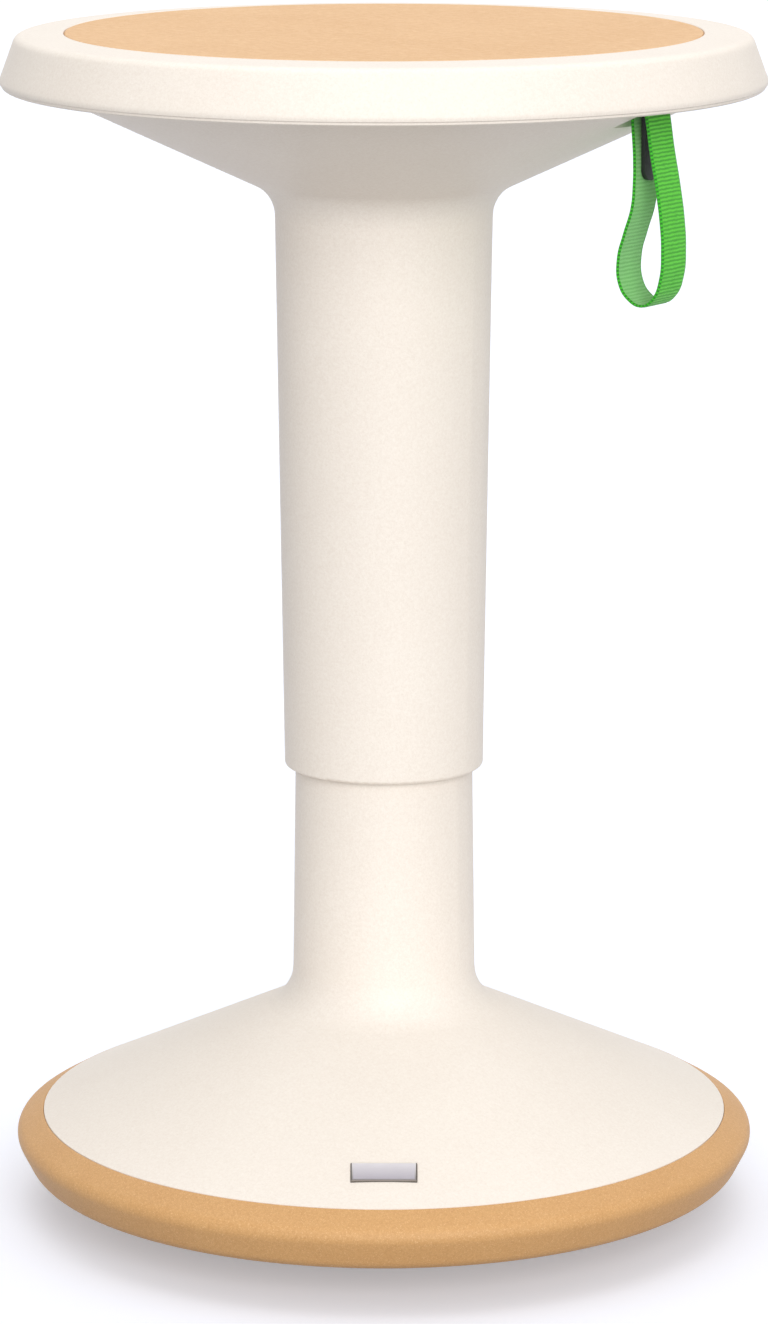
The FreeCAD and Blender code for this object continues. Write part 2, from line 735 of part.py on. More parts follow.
def make_release_lever():
    """The bar from its pivot, over the gas cylinder's pin, to the strap."""
    body = new_body("release_lever")
    along = "1 / lever_stretch"
    across = "lever_slope / lever_stretch"
    half = "lever_height / 2"
    corners = []
    for end_x, end_z, reach in (("-pivot_offset", "pivot_height", "-lever_end"),
                                ("strap_pin_place", "strap_pin_height", "lever_end")):
        for side in ((-1, 1) if reach == "-lever_end" else (1, -1)):
            corners.append((
                "%s + %s * %s - (%d) * %s * %s" % (end_x, reach, along, side, half, across),
                "%s + %s * %s + (%d) * %s * %s" % (end_z, reach, across, side, half, along),
            ))
    side_view = new_sketch(body, "lever_side", "XZ_Plane")
    draw_outline(side_view, corners[::-1])
    bar = pad(body, side_view, "lever_bar", "lever_width", both_ways=True)
    dress(body, "Fillet", "lever_ends", bar, edges_along(bar.Shape, CROSSWISE), "Radius",
          "lever_height * 0.3")
    for name, x_text, z_text, radius in (
            ("pivot_hole", "-pivot_offset", "pivot_height", "lever_pin_radius + pin_fit"),
            ("strap_pin_hole", "strap_pin_place", "strap_pin_height", "strap_pin_radius + pin_fit")):
        sketch = new_sketch(body, name + "_sketch", "XZ_Plane")
        draw_circle(sketch, x_text, z_text, radius)
        cut(body, sketch, name, "lever_width * 2", both_ways=True)


def make_gas_cylinder():
    body = new_body("gas_cylinder")
    revolve(body, "cylinder_section", [
        ("crimp_hole", "cylinder_bottom"),
        ("cylinder_radius", "cylinder_bottom"),
        ("cylinder_radius", "taper_start"),
        ("taper_top_radius", "cylinder_top"),
        ("crimp_hole", "cylinder_top"),
        ("crimp_hole", "valve_top"),
        ("cylinder_bore", "valve_top"),
        ("cylinder_bore", "cylinder_bottom + cylinder_crimp"),
        ("crimp_hole", "cylinder_bottom + cylinder_crimp"),
    ])


def make_cylinder_insides():
    guide_top = "cylinder_bottom + cylinder_crimp + rod_guide_length"
    tube_piece("rod_guide", "rod_radius + slide_fit", "cylinder_bore - slide_fit",
               "cylinder_bottom + cylinder_crimp", guide_top)
    tube_piece("rod_seal", "rod_radius + slide_fit", "cylinder_bore - slide_fit",
               guide_top, guide_top + " + rod_seal_length")
    body = new_body("valve_body")
    revolve(body, "valve_section", [
        ("0", "valve_bottom"),
        ("cylinder_bore - slide_fit", "valve_bottom"),
        ("cylinder_bore - slide_fit", "valve_top"),
        ("release_pin_radius + pin_fit", "valve_top"),
        ("release_pin_radius + pin_fit", "valve_bottom + valve_floor"),
        ("0", "valve_bottom + valve_floor"),
    ])


def make_release_pin():
    body = new_body("release_pin")
    shank = revolve(body, "pin_shank", [
        ("0", "release_pin_bottom"),
        ("release_pin_radius", "release_pin_bottom"),
        ("release_pin_radius", "release_pin_top"),
        ("0", "release_pin_top"),
    ])
    fillet_rings(body, "pin_tip", shank, [("release_pin_radius", "release_pin_top")],
                 "release_pin_radius * 0.4")


# Pull strap
def strap_route():
    """The loop's middle line in (x, z), from the hook's bar down the inner strand and up the outer."""
    bar_x = value("hook_bar_place")
    bar_z = value("hook_bar_height")
    diagonal = math.sqrt(0.5)
    wrap = value("hook_bar_radius + touch_gap + strap_thickness / 2")
    tongue = value("tongue_thickness / 2 + touch_gap + strap_thickness / 2")
    inner = [(-0.036, -0.50), (-0.082, -0.643), (-0.115, -0.76), (-0.108, -0.892), (-0.055, -0.969)]
    outer = [
        (0.027, -1.0), (0.097, -0.957), (0.14, -0.855), (0.15, -0.708), (0.139, -0.559), (0.114, -0.404),
        (0.076, -0.217),
    ]
    drop = value("strap_loop_drop")
    loop = [(-wrap, 0.0), (-tongue, -0.26 * drop), (-tongue, -0.37 * drop)]
    loop += [(x * drop, z * drop) for x, z in inner + outer]
    loop += [
        (wrap, 0.0), (wrap * diagonal, wrap * diagonal), (0.0, wrap), (-wrap * diagonal, wrap * diagonal),
    ]
    return [FreeCAD.Vector(bar_x + x, 0, bar_z + z) for x, z in loop]


def smooth_loop(points):
    """A closed wire: straight runs between points, joined by tangent arcs at the points."""
    count = len(points)
    runs = [(points[(index + 1) % count] - point).Length for index, point in enumerate(points)]
    arcs = []
    for index, point in enumerate(points):
        before = (points[index - 1] - point).normalize()
        after = (points[(index + 1) % count] - point).normalize()
        reach = 0.45 * min(runs[index - 1], runs[index])
        half_turn = (math.pi - before.getAngle(after)) / 2
        inward = (before + after).normalize()
        drop = reach * math.tan(half_turn / 2)
        middle = point + inward * drop
        arcs.append(Part.Arc(point + before * reach, middle, point + after * reach).toShape())
    edges = []
    for index, arc in enumerate(arcs):
        following = arcs[(index + 1) % count]
        edges.append(arc)
        edges.append(Part.makeLine(arc.lastVertex().Point, following.firstVertex().Point))
    return Part.Wire(Part.__sortEdges__(edges))


def make_pull_strap():
    """Webbing sewn into a loop through the hook."""
    middle = smooth_loop(strap_route())
    half = value("strap_thickness") / 2
    outside = middle.makeOffset2D(half)
    inside = middle.makeOffset2D(-half)
    if outside.Length < inside.Length:
        outside, inside = inside, outside
    width = value("strap_width")
    section = Part.makeFace([outside, inside], "Part::FaceMakerBullseye")
    strap = doc.addObject("Part::Feature", "pull_strap")
    strap.Label = "pull_strap"
    strap.Shape = section.extrude(FreeCAD.Vector(0, width, 0))
    strap.Placement = FreeCAD.Placement(FreeCAD.Vector(0, -width / 2, 0), FreeCAD.Rotation())


def make_strap_hook():
    """Two ears on the lever's pin, the bar that the strap loops over, and the tongue below it."""
    body = new_body("strap_hook")
    ear = new_sketch(body, "ear_sketch", "XZ_Plane")
    draw_outline(ear, [
        ("hook_bar_place - hook_ear_radius", "hook_bar_height - hook_bar_radius"),
        ("hook_bar_place + hook_ear_radius", "hook_bar_height - hook_bar_radius"),
        ("strap_pin_place + hook_ear_radius", "strap_pin_height + hook_ear_radius * 0.4"),
        ("strap_pin_place + hook_ear_radius * 0.4", "strap_pin_height + hook_ear_radius"),
        ("strap_pin_place - hook_ear_radius * 0.4", "strap_pin_height + hook_ear_radius"),
        ("strap_pin_place - hook_ear_radius", "strap_pin_height + hook_ear_radius * 0.4"),
    ])
    pad(body, ear, "ear_block", "2 * hook_outside", both_ways=True)
    gap = new_sketch(body, "ear_gap_sketch", "XZ_Plane")
    draw_box(gap, "hook_bar_place - 3 * hook_ear_radius", "hook_bar_place + 3 * hook_ear_radius",
             "hook_bar_height - 3 * hook_ear_radius", "strap_pin_height + 3 * hook_ear_radius")
    cut(body, gap, "ear_gap", "2 * hook_inside", both_ways=True)
    bar = new_sketch(body, "bar_sketch", "XZ_Plane")
    draw_circle(bar, "hook_bar_place", "hook_bar_height", "hook_bar_radius")
    pad(body, bar, "bar", "2 * hook_inside + hook_ear_thickness", both_ways=True)
    tongue = new_sketch(body, "tongue_sketch", "YZ_Plane", "hook_bar_place - tongue_thickness / 2")
    low = "strap_pin_height - tongue_drop"
    draw_outline(tongue, [
        ("-tongue_width / 2", low + " + tongue_width / 2"),
        ("tongue_width / 2", low + " + tongue_width / 2"),
        ("tongue_width / 2", "hook_bar_height"),
        ("-tongue_width / 2", "hook_bar_height"),
    ], {0: "tongue_width / 2 + 0.001"})
    pad(body, tongue, "tongue", "tongue_thickness")
    eye = new_sketch(body, "hook_eye_sketch", "XZ_Plane")
    draw_circle(eye, "strap_pin_place", "strap_pin_height", "strap_pin_radius + pin_fit")
    cut(body, eye, "hook_eyes", "4 * hook_outside", both_ways=True)


def make_pins():
    pin_along_y("lever_pin", "-pivot_offset", "pivot_height", "lever_pin_radius",
                "lever_width + 2 * (lever_side_gap + bracket_ear + pin_end)")
    pin_along_y("strap_pin", "strap_pin_place", "strap_pin_height", "strap_pin_radius",
                "2 * hook_outside")


# Piston rod and swivel bearing
def make_piston_rod():
    body = new_body("piston_rod")
    revolve(body, "rod_section", [
        ("0", "rod_foot"),
        ("rod_foot_radius", "rod_foot"),
        ("rod_foot_radius", "clip_bottom"),
        ("rod_foot_radius - clip_groove_depth", "clip_bottom"),
        ("rod_foot_radius - clip_groove_depth", "clip_bottom + clip_thickness"),
        ("rod_foot_radius", "clip_bottom + clip_thickness"),
        ("rod_foot_radius", "rod_shoulder"),
        ("rod_radius", "rod_shoulder"),
        ("rod_radius", "piston_height"),
        ("rod_spigot_radius", "piston_height"),
        ("rod_spigot_radius", "piston_top + rod_nut_length"),
        ("0", "piston_top + rod_nut_length"),
    ])


def make_rod_pieces():
    spigot = "rod_spigot_radius + slide_fit"
    tube_piece("piston", spigot, "piston_radius", "piston_height", "piston_top")
    tube_piece("piston_nut", spigot, "rod_nut_radius", "piston_top", "piston_top + rod_nut_length")
    tube_piece("rubber_bumper", "rod_radius + slide_fit", "bumper_radius", "rod_shoulder",
               "rod_shoulder + bumper_length")
    tube_piece("upper_race", "rod_foot_radius + slide_fit", "race_radius", "upper_race_bottom",
               "rod_shoulder")
    tube_piece("rod_washer", "rod_foot_radius + slide_fit", "washer_radius",
               "base_plate_height - washer_thickness", "base_plate_height - slide_fit")
    tube_piece("rod_clip", "rod_foot_radius - clip_groove_depth + slide_fit", "clip_radius",
               "clip_bottom", "clip_bottom + clip_thickness")


def make_ball_cage():
    body = new_body("ball_cage")
    revolve(body, "cage_ring", [
        ("ball_circle - cage_side", "ball_height - cage_thickness / 2"),
        ("ball_circle + cage_side", "ball_height - cage_thickness / 2"),
        ("ball_circle + cage_side", "ball_height + cage_thickness / 2"),
        ("ball_circle - cage_side", "ball_height + cage_thickness / 2"),
    ])
    hole_ring(body, "ball_pockets", "ball_circle", 0, "ball_radius + cage_pocket_gap",
              "ball_height - cage_thickness / 2", "cage_thickness", "ball_count")


def make_bearing_balls():
    balls = []
    for index in range(int(value("ball_count"))):
        angle = 2 * math.pi * index / value("ball_count")
        place = FreeCAD.Vector(math.cos(angle), math.sin(angle), 0) * value("ball_circle")
        ball = doc.addObject("Part::Sphere", "ball_%d" % (index + 1))
        ball.setExpression("Radius", bound("ball_radius"))
        ball.Placement.Base = place + FreeCAD.Vector(0, 0, value("ball_height"))
        balls.append(ball)
    group = doc.addObject("Part::Compound", "bearing_balls")
    group.Label = "bearing_balls"
    group.Links = balls
    doc.recompute()


# Base
def make_base_cover():
    """The inner tube and the cone of the base, in one moulding."""
    body = new_body("base_cover")
    revolve(body, "cover_section", [
        ("cover_skirt_inner", "cover_skirt_bottom"),
        ("cover_skirt_radius", "cover_skirt_bottom"),
        ("cover_skirt_radius", "sole_ledge"),
        ("cover_edge_radius", "sole_ledge"),
        ("cover_edge_radius", "cover_edge_height"),
        ("inner_tube_radius", "cover_corner_height"),
        ("cover_tube_top", "inner_tube_top"),
        ("cover_tube_top - inner_tube_wall", "inner_tube_top"),
        ("cover_inside", "cover_inside_height"),
        ("cover_skirt_inner",
         "cover_edge_height + (cover_edge_radius - cover_skirt_inner) * cover_rise - cover_lift"),
    ])
    boss_circle = new_sketch(body, "base_boss_sketch", "XY_Plane", "base_plate_height")
    draw_circle(boss_circle, "base_boss_circle * cos(%ddeg)" % BASE_SCREW_ANGLE,
                "base_boss_circle * sin(%ddeg)" % BASE_SCREW_ANGLE, "base_boss_radius")
    boss = pad(body, boss_circle, "base_boss",
               "cover_edge_height + (cover_edge_radius - base_boss_circle + base_boss_radius) * cover_rise"
               " - base_plate_height")
    polar(body, "base_boss_ring", [boss], "base_screw_count")
    trimmed = groove(body, "boss_trim", [
        ("inner_tube_radius + cover_wall", "cover_corner_height - cover_wall * cover_rise"),
        ("inner_tube_radius + cover_wall", "cover_corner_height + cover_round"),
        ("cover_edge_radius + cover_wall", "cover_corner_height + cover_round"),
        ("cover_edge_radius + cover_wall", "cover_edge_height - cover_wall * cover_rise"),
    ])
    outside = fillet_rings(body, "cover_outside_round", trimmed,
                           [("inner_tube_radius", "cover_corner_height")], "cover_round")
    fillet_rings(body, "cover_inside_round", outside, [("cover_inside", "cover_inside_height")],
                 "cover_round + cover_wall")
    hole_ring(body, "base_screw_bores", "base_boss_circle", BASE_SCREW_ANGLE,
              "screw_radius + thread_clearance", "base_plate_height",
              "base_screw_length - ballast_height", "base_screw_count")
    recess = body.newObject("Sketcher::SketchObject", "badge_recess_sketch")
    recess.AttachmentSupport = (origin_item(body, "XY_Plane"), [""])
    recess.MapMode = "FlatFace"
    recess.AttachmentOffset = badge_placement("0")
    half_width = "(badge_width / 2 + badge_gap)"
    half_height = "(badge_height / 2 + badge_gap)"
    draw_box(recess, "-" + half_height, half_height, "-" + half_width, half_width)
    cut(body, recess, "badge_recess", "badge_recess")


def badge_placement(rise):
    """A frame on the cone of the base: X down the slope, Y round the cone, Z outward."""
    out = value("badge_place")
    height = value("cover_edge_height + (cover_edge_radius - badge_place) * cover_rise")
    tilt = FreeCAD.Rotation(FreeCAD.Vector(0, 1, 0), value("cover_slope"))
    turn = FreeCAD.Rotation(FreeCAD.Vector(0, 0, 1), value("badge_angle"))
    rotation = turn.multiply(tilt)
    outward = rotation.multVec(FreeCAD.Vector(0, 0, value(rise)))
    return FreeCAD.Placement(turn.multVec(FreeCAD.Vector(out, 0, height)) + outward, rotation)


def make_badge():
    """A bare bevelled plate let into the cone."""
    body = new_body("badge")
    sketch = new_sketch(body, "badge_outline", "XY_Plane")
    draw_box(sketch, "-badge_height / 2", "badge_height / 2", "-badge_width / 2", "badge_width / 2")
    plate = pad(body, sketch, "badge_plate", "badge_thickness")
    top = ["Edge%d" % index for index, edge in enumerate(plate.Shape.Edges, start=1)
           if abs(edge.CenterOfMass.z - value("badge_thickness")) < 0.001]
    dress(body, "Chamfer", "badge_bevels", plate, top, "Size", "badge_bevel")
    body.Placement = badge_placement("-badge_recess")


def make_foot_sole():
    """The ring that shows and the domed underside that the stool rocks on, in one moulding."""
    body = new_body("foot_sole")
    section = revolve(body, "sole_section", [
        ("0", "0"),
        ("rocker_flat", "0"),
        ("foot_bottom_radius", "foot_bottom_height"),
        ("foot_radius", "foot_top_height"),
        ("sole_edge", "cover_edge_height"),
        ("sole_edge", "sole_ledge"),
        ("sole_bore", "sole_ledge"),
        ("sole_bore", "sole_rise"),
        ("sole_flat", "sole_wall"),
        ("0", "sole_wall"),
    ], {1: "rocker_radius", 7: "-sole_inside_radius"})
    corner = fillet_rings(body, "foot_corner", section, [("foot_radius", "foot_top_height")],
                          "foot_corner_round")
    fillet_rings(body, "foot_bottom", corner, [("foot_bottom_radius", "foot_bottom_height")],
                 "foot_bottom_round")
    boss_circle = new_sketch(body, "sole_boss_sketch", "XY_Plane", "ballast_bottom")
    draw_circle(boss_circle, "base_boss_circle * cos(%ddeg)" % BASE_SCREW_ANGLE,
                "base_boss_circle * sin(%ddeg)" % BASE_SCREW_ANGLE, "screw_head_radius + sole_boss_wall")
    reach = "(base_boss_circle - screw_head_radius - sole_boss_wall)"
    boss = pad(body, boss_circle, "sole_boss",
               "ballast_bottom - rocker_centre + sole_boss_root"
               " + sqrt(sole_inside_radius * sole_inside_radius - %s * %s)" % (reach, reach), reverse=True)
    polar(body, "sole_boss_ring", [boss], "base_screw_count")
    hole_ring(body, "sole_holes", "base_boss_circle", BASE_SCREW_ANGLE,
              "screw_radius + screw_clearance", "0", "ballast_bottom", "base_screw_count")
    hole_ring(body, "sole_head_seats", "base_boss_circle", BASE_SCREW_ANGLE,
              "screw_head_radius + screw_clearance", "0", "ballast_bottom - sole_head_wall",
              "base_screw_count")


def make_ballast():
    body = new_body("ballast")
    ring = revolve(body, "ballast_ring", [
        ("ballast_inner", "ballast_bottom"),
        ("ballast_outer", "ballast_bottom"),
        ("ballast_outer", "base_plate_height"),
        ("ballast_inner", "base_plate_height"),
    ])
    chamfer_rings(body, "ballast_edges", ring,
                  [("ballast_outer", "ballast_bottom"), ("ballast_outer", "base_plate_height")],
                  "ballast_chamfer")
    hole_ring(body, "ballast_screw_holes", "base_boss_circle", BASE_SCREW_ANGLE,
              "screw_radius + screw_clearance", "ballast_bottom", "ballast_height", "base_screw_count")
    hole_ring(body, "ballast_bolt_holes", "bolt_circle", BOLT_ANGLE, "bolt_radius + thread_clearance",
              "ballast_bottom", "ballast_height", "bolt_count")


def make_base_plate():
    body = new_body("base_plate")
    revolve(body, "base_plate_disc", [
        ("rod_foot_radius + rod_foot_gap", "base_plate_height"),
        ("base_plate_radius", "base_plate_height"),
        ("base_plate_radius", "bearing_height"),
        ("rod_foot_radius + rod_foot_gap", "bearing_height"),
    ])
    hole_ring(body, "base_plate_holes", "bolt_circle", BOLT_ANGLE, "bolt_radius + screw_clearance",
              "base_plate_height", "base_plate_thickness", "bolt_count")


def make_plate_bolts():
    body = new_body("plate_bolts")
    body.AllowCompound = True
    tip = "bearing_height - bolt_length"
    head = "bearing_height + bolt_head_height"
    bolt = turn_about(body, "bolt", "bolt_circle", [
        ("0", tip),
        ("bolt_radius", tip),
        ("bolt_radius", "bearing_height"),
        ("bolt_head_radius", "bearing_height"),
        ("bolt_head_radius", head),
        ("0", head),
    ])
    drive = new_sketch(body, "bolt_drive_sketch", "XY_Plane", head)
    draw_hexagon(drive, "bolt_circle", "0", "drive_radius")
    socket = cut(body, drive, "bolt_drive", "drive_depth")
    polar(body, "bolt_ring", [bolt, socket], "bolt_count")
    body.Placement = FreeCAD.Placement(FreeCAD.Vector(),
                                       FreeCAD.Rotation(FreeCAD.Vector(0, 0, 1), BOLT_ANGLE))


def make_standpipe_pieces():
    tube_piece("standpipe", "standpipe_bore", "standpipe_radius", "bearing_height", "standpipe_top")
    body = new_body("guide_bush")
    revolve(body, "bush_section", [
        ("bush_bore", "standpipe_top - bush_length"),
        ("bush_radius", "standpipe_top - bush_length"),
        ("bush_radius", "standpipe_top"),
        ("standpipe_radius", "standpipe_top"),
        ("standpipe_radius", "standpipe_top + bush_flange"),
        ("bush_bore", "standpipe_top + bush_flange"),
    ])
    tube_piece("cover_spacer", "standpipe_radius + slide_fit", "spacer_radius",
               "spacer_top - spacer_length", "spacer_top")
    tube_piece("lower_race", "rod_foot_radius + rod_foot_gap", "race_radius", "bearing_height",
               "bearing_height + race_thickness")


def make_all():
    make_seat_pad()
    make_seat_shell()
    make_seat_column()
    screw_ring("seat_screws", "seat_boss_circle", "seat_screw_count", SEAT_SCREW_ANGLE, 1,
               "(pad_bottom - screw_head_height)", "seat_screw_length")
    make_mount_plate()
    screw_ring("plate_screws", "plate_boss_circle", "plate_screw_count", PLATE_SCREW_ANGLE, 1,
               "plate_top", "plate_screw_length")
    make_taper_socket()
    make_lever_bracket()
    make_release_lever()
    make_pins()
    make_gas_cylinder()
    make_cylinder_insides()
    make_release_pin()
    make_pull_strap()
    make_strap_hook()
    make_piston_rod()
    make_rod_pieces()
    make_ball_cage()
    make_bearing_balls()
    make_base_cover()
    make_badge()
    make_foot_sole()
    make_ballast()
    make_base_plate()
    make_plate_bolts()
    make_standpipe_pieces()
    screw_ring("base_screws", "base_boss_circle", "base_screw_count", BASE_SCREW_ANGLE, -1,
               "(ballast_bottom - sole_head_wall)", "base_screw_length")


def is_sub_part(item):
    if item.isDerivedFrom("PartDesign::Body"):
        return True
    return item.Label in ("pull_strap", "bearing_balls")


make_all()
doc.recompute()
for item in doc.Objects:
    if "Invalid" in item.State or "Error" in item.State:
        raise RuntimeError("%s failed: %s" % (item.Label, item.State))
sub_parts = [item for item in doc.Objects if is_sub_part(item)]
for item in sub_parts:
    if item.Shape.isNull() or not item.Shape.isValid():
        raise RuntimeError(item.Label + " has no valid shape")
os.makedirs("parts", exist_ok=True)
for item in sub_parts:
    item.Shape.exportStep("parts/%s.step" % item.Label)
    print("%-16s solids %d  volume %.1f cm3" % (item.Label, len(item.Shape.Solids), item.Shape.Volume / 1000))
print(len(sub_parts), "nodes")
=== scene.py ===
# %% [markdown]
# # A wobble stool, dressed for its photograph
# The stool is a round seat on a telescoping column that stands on a domed, tan foot. A green
# webbing loop under the seat releases the height. The engineering model already holds every solid,
# so this file only adds what the eye needs: finishes, finer steps on the round pieces, woven
# webbing, light and a camera. All lengths are in metres, and the frame is the engineering model's
# own.

# %% Load the frame
import bpy
import math
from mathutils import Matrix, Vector


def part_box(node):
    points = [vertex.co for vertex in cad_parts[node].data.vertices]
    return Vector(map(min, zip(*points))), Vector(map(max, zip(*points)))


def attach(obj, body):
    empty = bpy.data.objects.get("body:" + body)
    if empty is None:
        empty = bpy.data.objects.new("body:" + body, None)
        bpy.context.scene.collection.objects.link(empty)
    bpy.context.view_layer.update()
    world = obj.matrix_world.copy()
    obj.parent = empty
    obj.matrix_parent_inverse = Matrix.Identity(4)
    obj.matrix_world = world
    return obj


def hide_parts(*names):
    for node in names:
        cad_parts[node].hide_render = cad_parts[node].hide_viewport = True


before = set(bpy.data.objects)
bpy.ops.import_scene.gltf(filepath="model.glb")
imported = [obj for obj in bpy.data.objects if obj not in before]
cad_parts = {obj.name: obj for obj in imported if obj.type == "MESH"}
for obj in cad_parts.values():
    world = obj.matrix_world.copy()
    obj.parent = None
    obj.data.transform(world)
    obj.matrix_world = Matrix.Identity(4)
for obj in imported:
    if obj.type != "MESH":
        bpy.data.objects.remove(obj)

bpy.context.view_layer.update()
MM = 0.001

# %% [markdown]
# ## Camera
# The photograph was taken from a little above the seat with a long lens, which keeps the ellipses
# of the seat and foot flat. The camera stands 35 degrees round from the front, so that the strap
# hangs at the right. It was worked out from those ellipses, and it needs no shift.

# %% Place the camera
SENSOR_WIDTH = 36.0
LENS = 138.26
CAMERA_PLACE = (1.2946, -1.8488, 0.7419)
CAMERA_ROUND = 35
CAMERA_DOWN = 12.191
camera_data = bpy.data.cameras.new("camera")
camera_data.lens = LENS
camera_data.sensor_width = SENSOR_WIDTH
camera_data.clip_start = 0.05
camera_data.clip_end = 100.0
camera = bpy.data.objects.new("camera", camera_data)
camera.location = CAMERA_PLACE
camera.rotation_euler = (math.radians(90 - CAMERA_DOWN), 0, math.radians(CAMERA_ROUND))
bpy.context.scene.collection.objects.link(camera)
bpy.context.scene.camera = camera
bpy.context.scene.view_settings.view_transform = "Standard"
print("camera: %.1f mm lens" % camera_data.lens)

# %% [markdown]
# ## Expressions on node sockets
# A node tree is easier to follow as sums than as boxes and wires. This class wraps one socket.
# Adding or multiplying wrapped sockets adds the Math nodes that work the sum out. The same class
# serves shader trees and geometry trees, because both have the same Math node.

# %% A socket that can be added and multiplied


class Wire:
    """An output socket of a node."""

    def __init__(self, tree, socket):
        self.tree = tree
        self.socket = socket

    def out(self, name):
        """Another output of the same node."""
        return Wire(self.tree, self.socket.node.outputs[name])

    def math(self, operation, *values):
        """A Math node over the values."""
        sockets = dict(enumerate(values))
        return self.tree.node("ShaderNodeMath", {"operation": operation}, sockets)

    def __add__(self, other):
        return self.math("ADD", self, other)

    def __sub__(self, other):
        return self.math("SUBTRACT", self, other)

    def __rsub__(self, other):
        return self.math("SUBTRACT", other, self)

    def __mul__(self, other):
        return self.math("MULTIPLY", self, other)

    def __truediv__(self, other):
        return self.math("DIVIDE", self, other)

    def __pow__(self, other):
        return self.math("POWER", self, other)

    __radd__ = __add__
    __rmul__ = __mul__

    def sine(self):
        return self.math("SINE", self)

    def size(self):
        return self.math("ABSOLUTE", self)

    def smaller(self, other):
        return self.math("MINIMUM", self, other)

    def clear_of(self, start, end):
        """0 below start, 1 above end, and even between."""
        sockets = {"Value": self, "From Min": start, "From Max": end}
        return self.tree.node("ShaderNodeMapRange", {"clamp": True}, sockets)


class Tree:
    """A node tree with one way to add any node."""

    def __init__(self, tree):
        self.tree = tree

    def join(self, socket, value):
        """Link a wire to the socket, or set a plain value on it."""
        if isinstance(value, Wire):
            self.tree.links.new(value.socket, socket)
        else:
            socket.default_value = value

    def node(self, kind, settings=None, sockets=None):
        """A new node: settings come first, then its sockets' values and links."""
        made = self.tree.nodes.new(kind)
        for name, setting in (settings or {}).items():
            setattr(made, name, setting)
        for name, value in (sockets or {}).items():
            self.join(made.inputs[name], value)
        first = [socket for socket in made.outputs if socket.enabled][:1]
        return Wire(self, first[0]) if first else made


print("node helpers ready")

# %% [markdown]
# ## What every finish shares
# A real moulding is never one flat colour: it has a grain from the steel mould, faint clouds in
# the pigment and a sheen that changes with both. Each finish here is one material with a colour
# between two tints, a roughness and a bump, all worked out from the piece's own coordinates.

# %% A finish
LOW_COLOUR, HIGH_COLOUR = 6, 7      # the numbers of a Mix node's two colour sockets


class Finish(Tree):
    """A procedural material."""

    def __init__(self, name, **constants):
        self.material = bpy.data.materials.new(name)
        self.material.use_nodes = True
        super().__init__(self.material.node_tree)
        self.shader = self.tree.nodes["Principled BSDF"]
        self.place = self.node("ShaderNodeTexCoord").out("Object")
        for socket, value in constants.items():
            self.shader.inputs[socket.replace("_", " ")].default_value = value

    def speckle(self, size, detail=2.0, stretch=(1, 1, 1), place=None):
        """Noise from 0 to 1 with features of the size in metres."""
        place = place or self.place
        if stretch != (1, 1, 1):
            place = self.node("ShaderNodeMapping", {}, {"Vector": place, "Scale": stretch})
        sockets = {"Vector": place, "Scale": 1 / size, "Detail": detail, "Roughness": 0.5}
        return self.node("ShaderNodeTexNoise", {"noise_dimensions": "3D"}, sockets)

    def mix(self, mask, low, high):
        """A colour between two tints or wires."""
        settings = {"data_type": "RGBA", "clamp_factor": True}
        return self.node("ShaderNodeMix", settings, {0: mask, LOW_COLOUR: low, HIGH_COLOUR: high})

    def finish(self, colour, roughness, height, depth):
        """Wire the colour, the roughness and a bump whose height is in metres."""
        self.join(self.shader.inputs["Base Color"], colour)
        self.join(self.shader.inputs["Roughness"], roughness)
        bump = self.node("ShaderNodeBump", {}, {"Height": height, "Distance": depth})
        self.join(self.shader.inputs["Normal"], bump)
        return self.material


def tint(red, green, blue):
    """The opaque, linear colour that shows as the given 8-bit one."""
    linear = []
    for part in (red, green, blue):
        share = part / 255
        linear.append(share / 12.92 if share <= 0.04045 else ((share + 0.055) / 1.055) ** 2.4)
    return (*linear, 1.0)


print("white as a linear colour:", [round(part, 3) for part in tint(247, 240, 230)])

# %% [markdown]
# ## White mouldings
# The rim, cones and tubes are polypropylene from a spark-eroded mould. That leaves an even stipple
# about half a millimetre across, which breaks the highlight up. Flecks and wide, faint clouds of
# pigment lie under it. All three are noise of a real size, so nothing has to be painted or
# unwrapped.

# %% White moulded plastic
white = Finish("moulded_white", IOR=1.46)
stipple = white.speckle(0.55 * MM, 2.0)
fleck = white.speckle(1.3 * MM, 3.0)
cloud = white.speckle(45 * MM, 3.0)
shade = stipple * 0.4 + fleck * 0.45 + cloud * 0.15
white_material = white.finish(
    colour=white.mix(shade.clear_of(0.3, 0.7), tint(242, 231, 219), tint(255, 247, 237)),
    roughness=0.42 + 0.14 * stipple,
    height=stipple + fleck * 0.6,
    depth=0.06 * MM,
)
print("made", white_material.name)
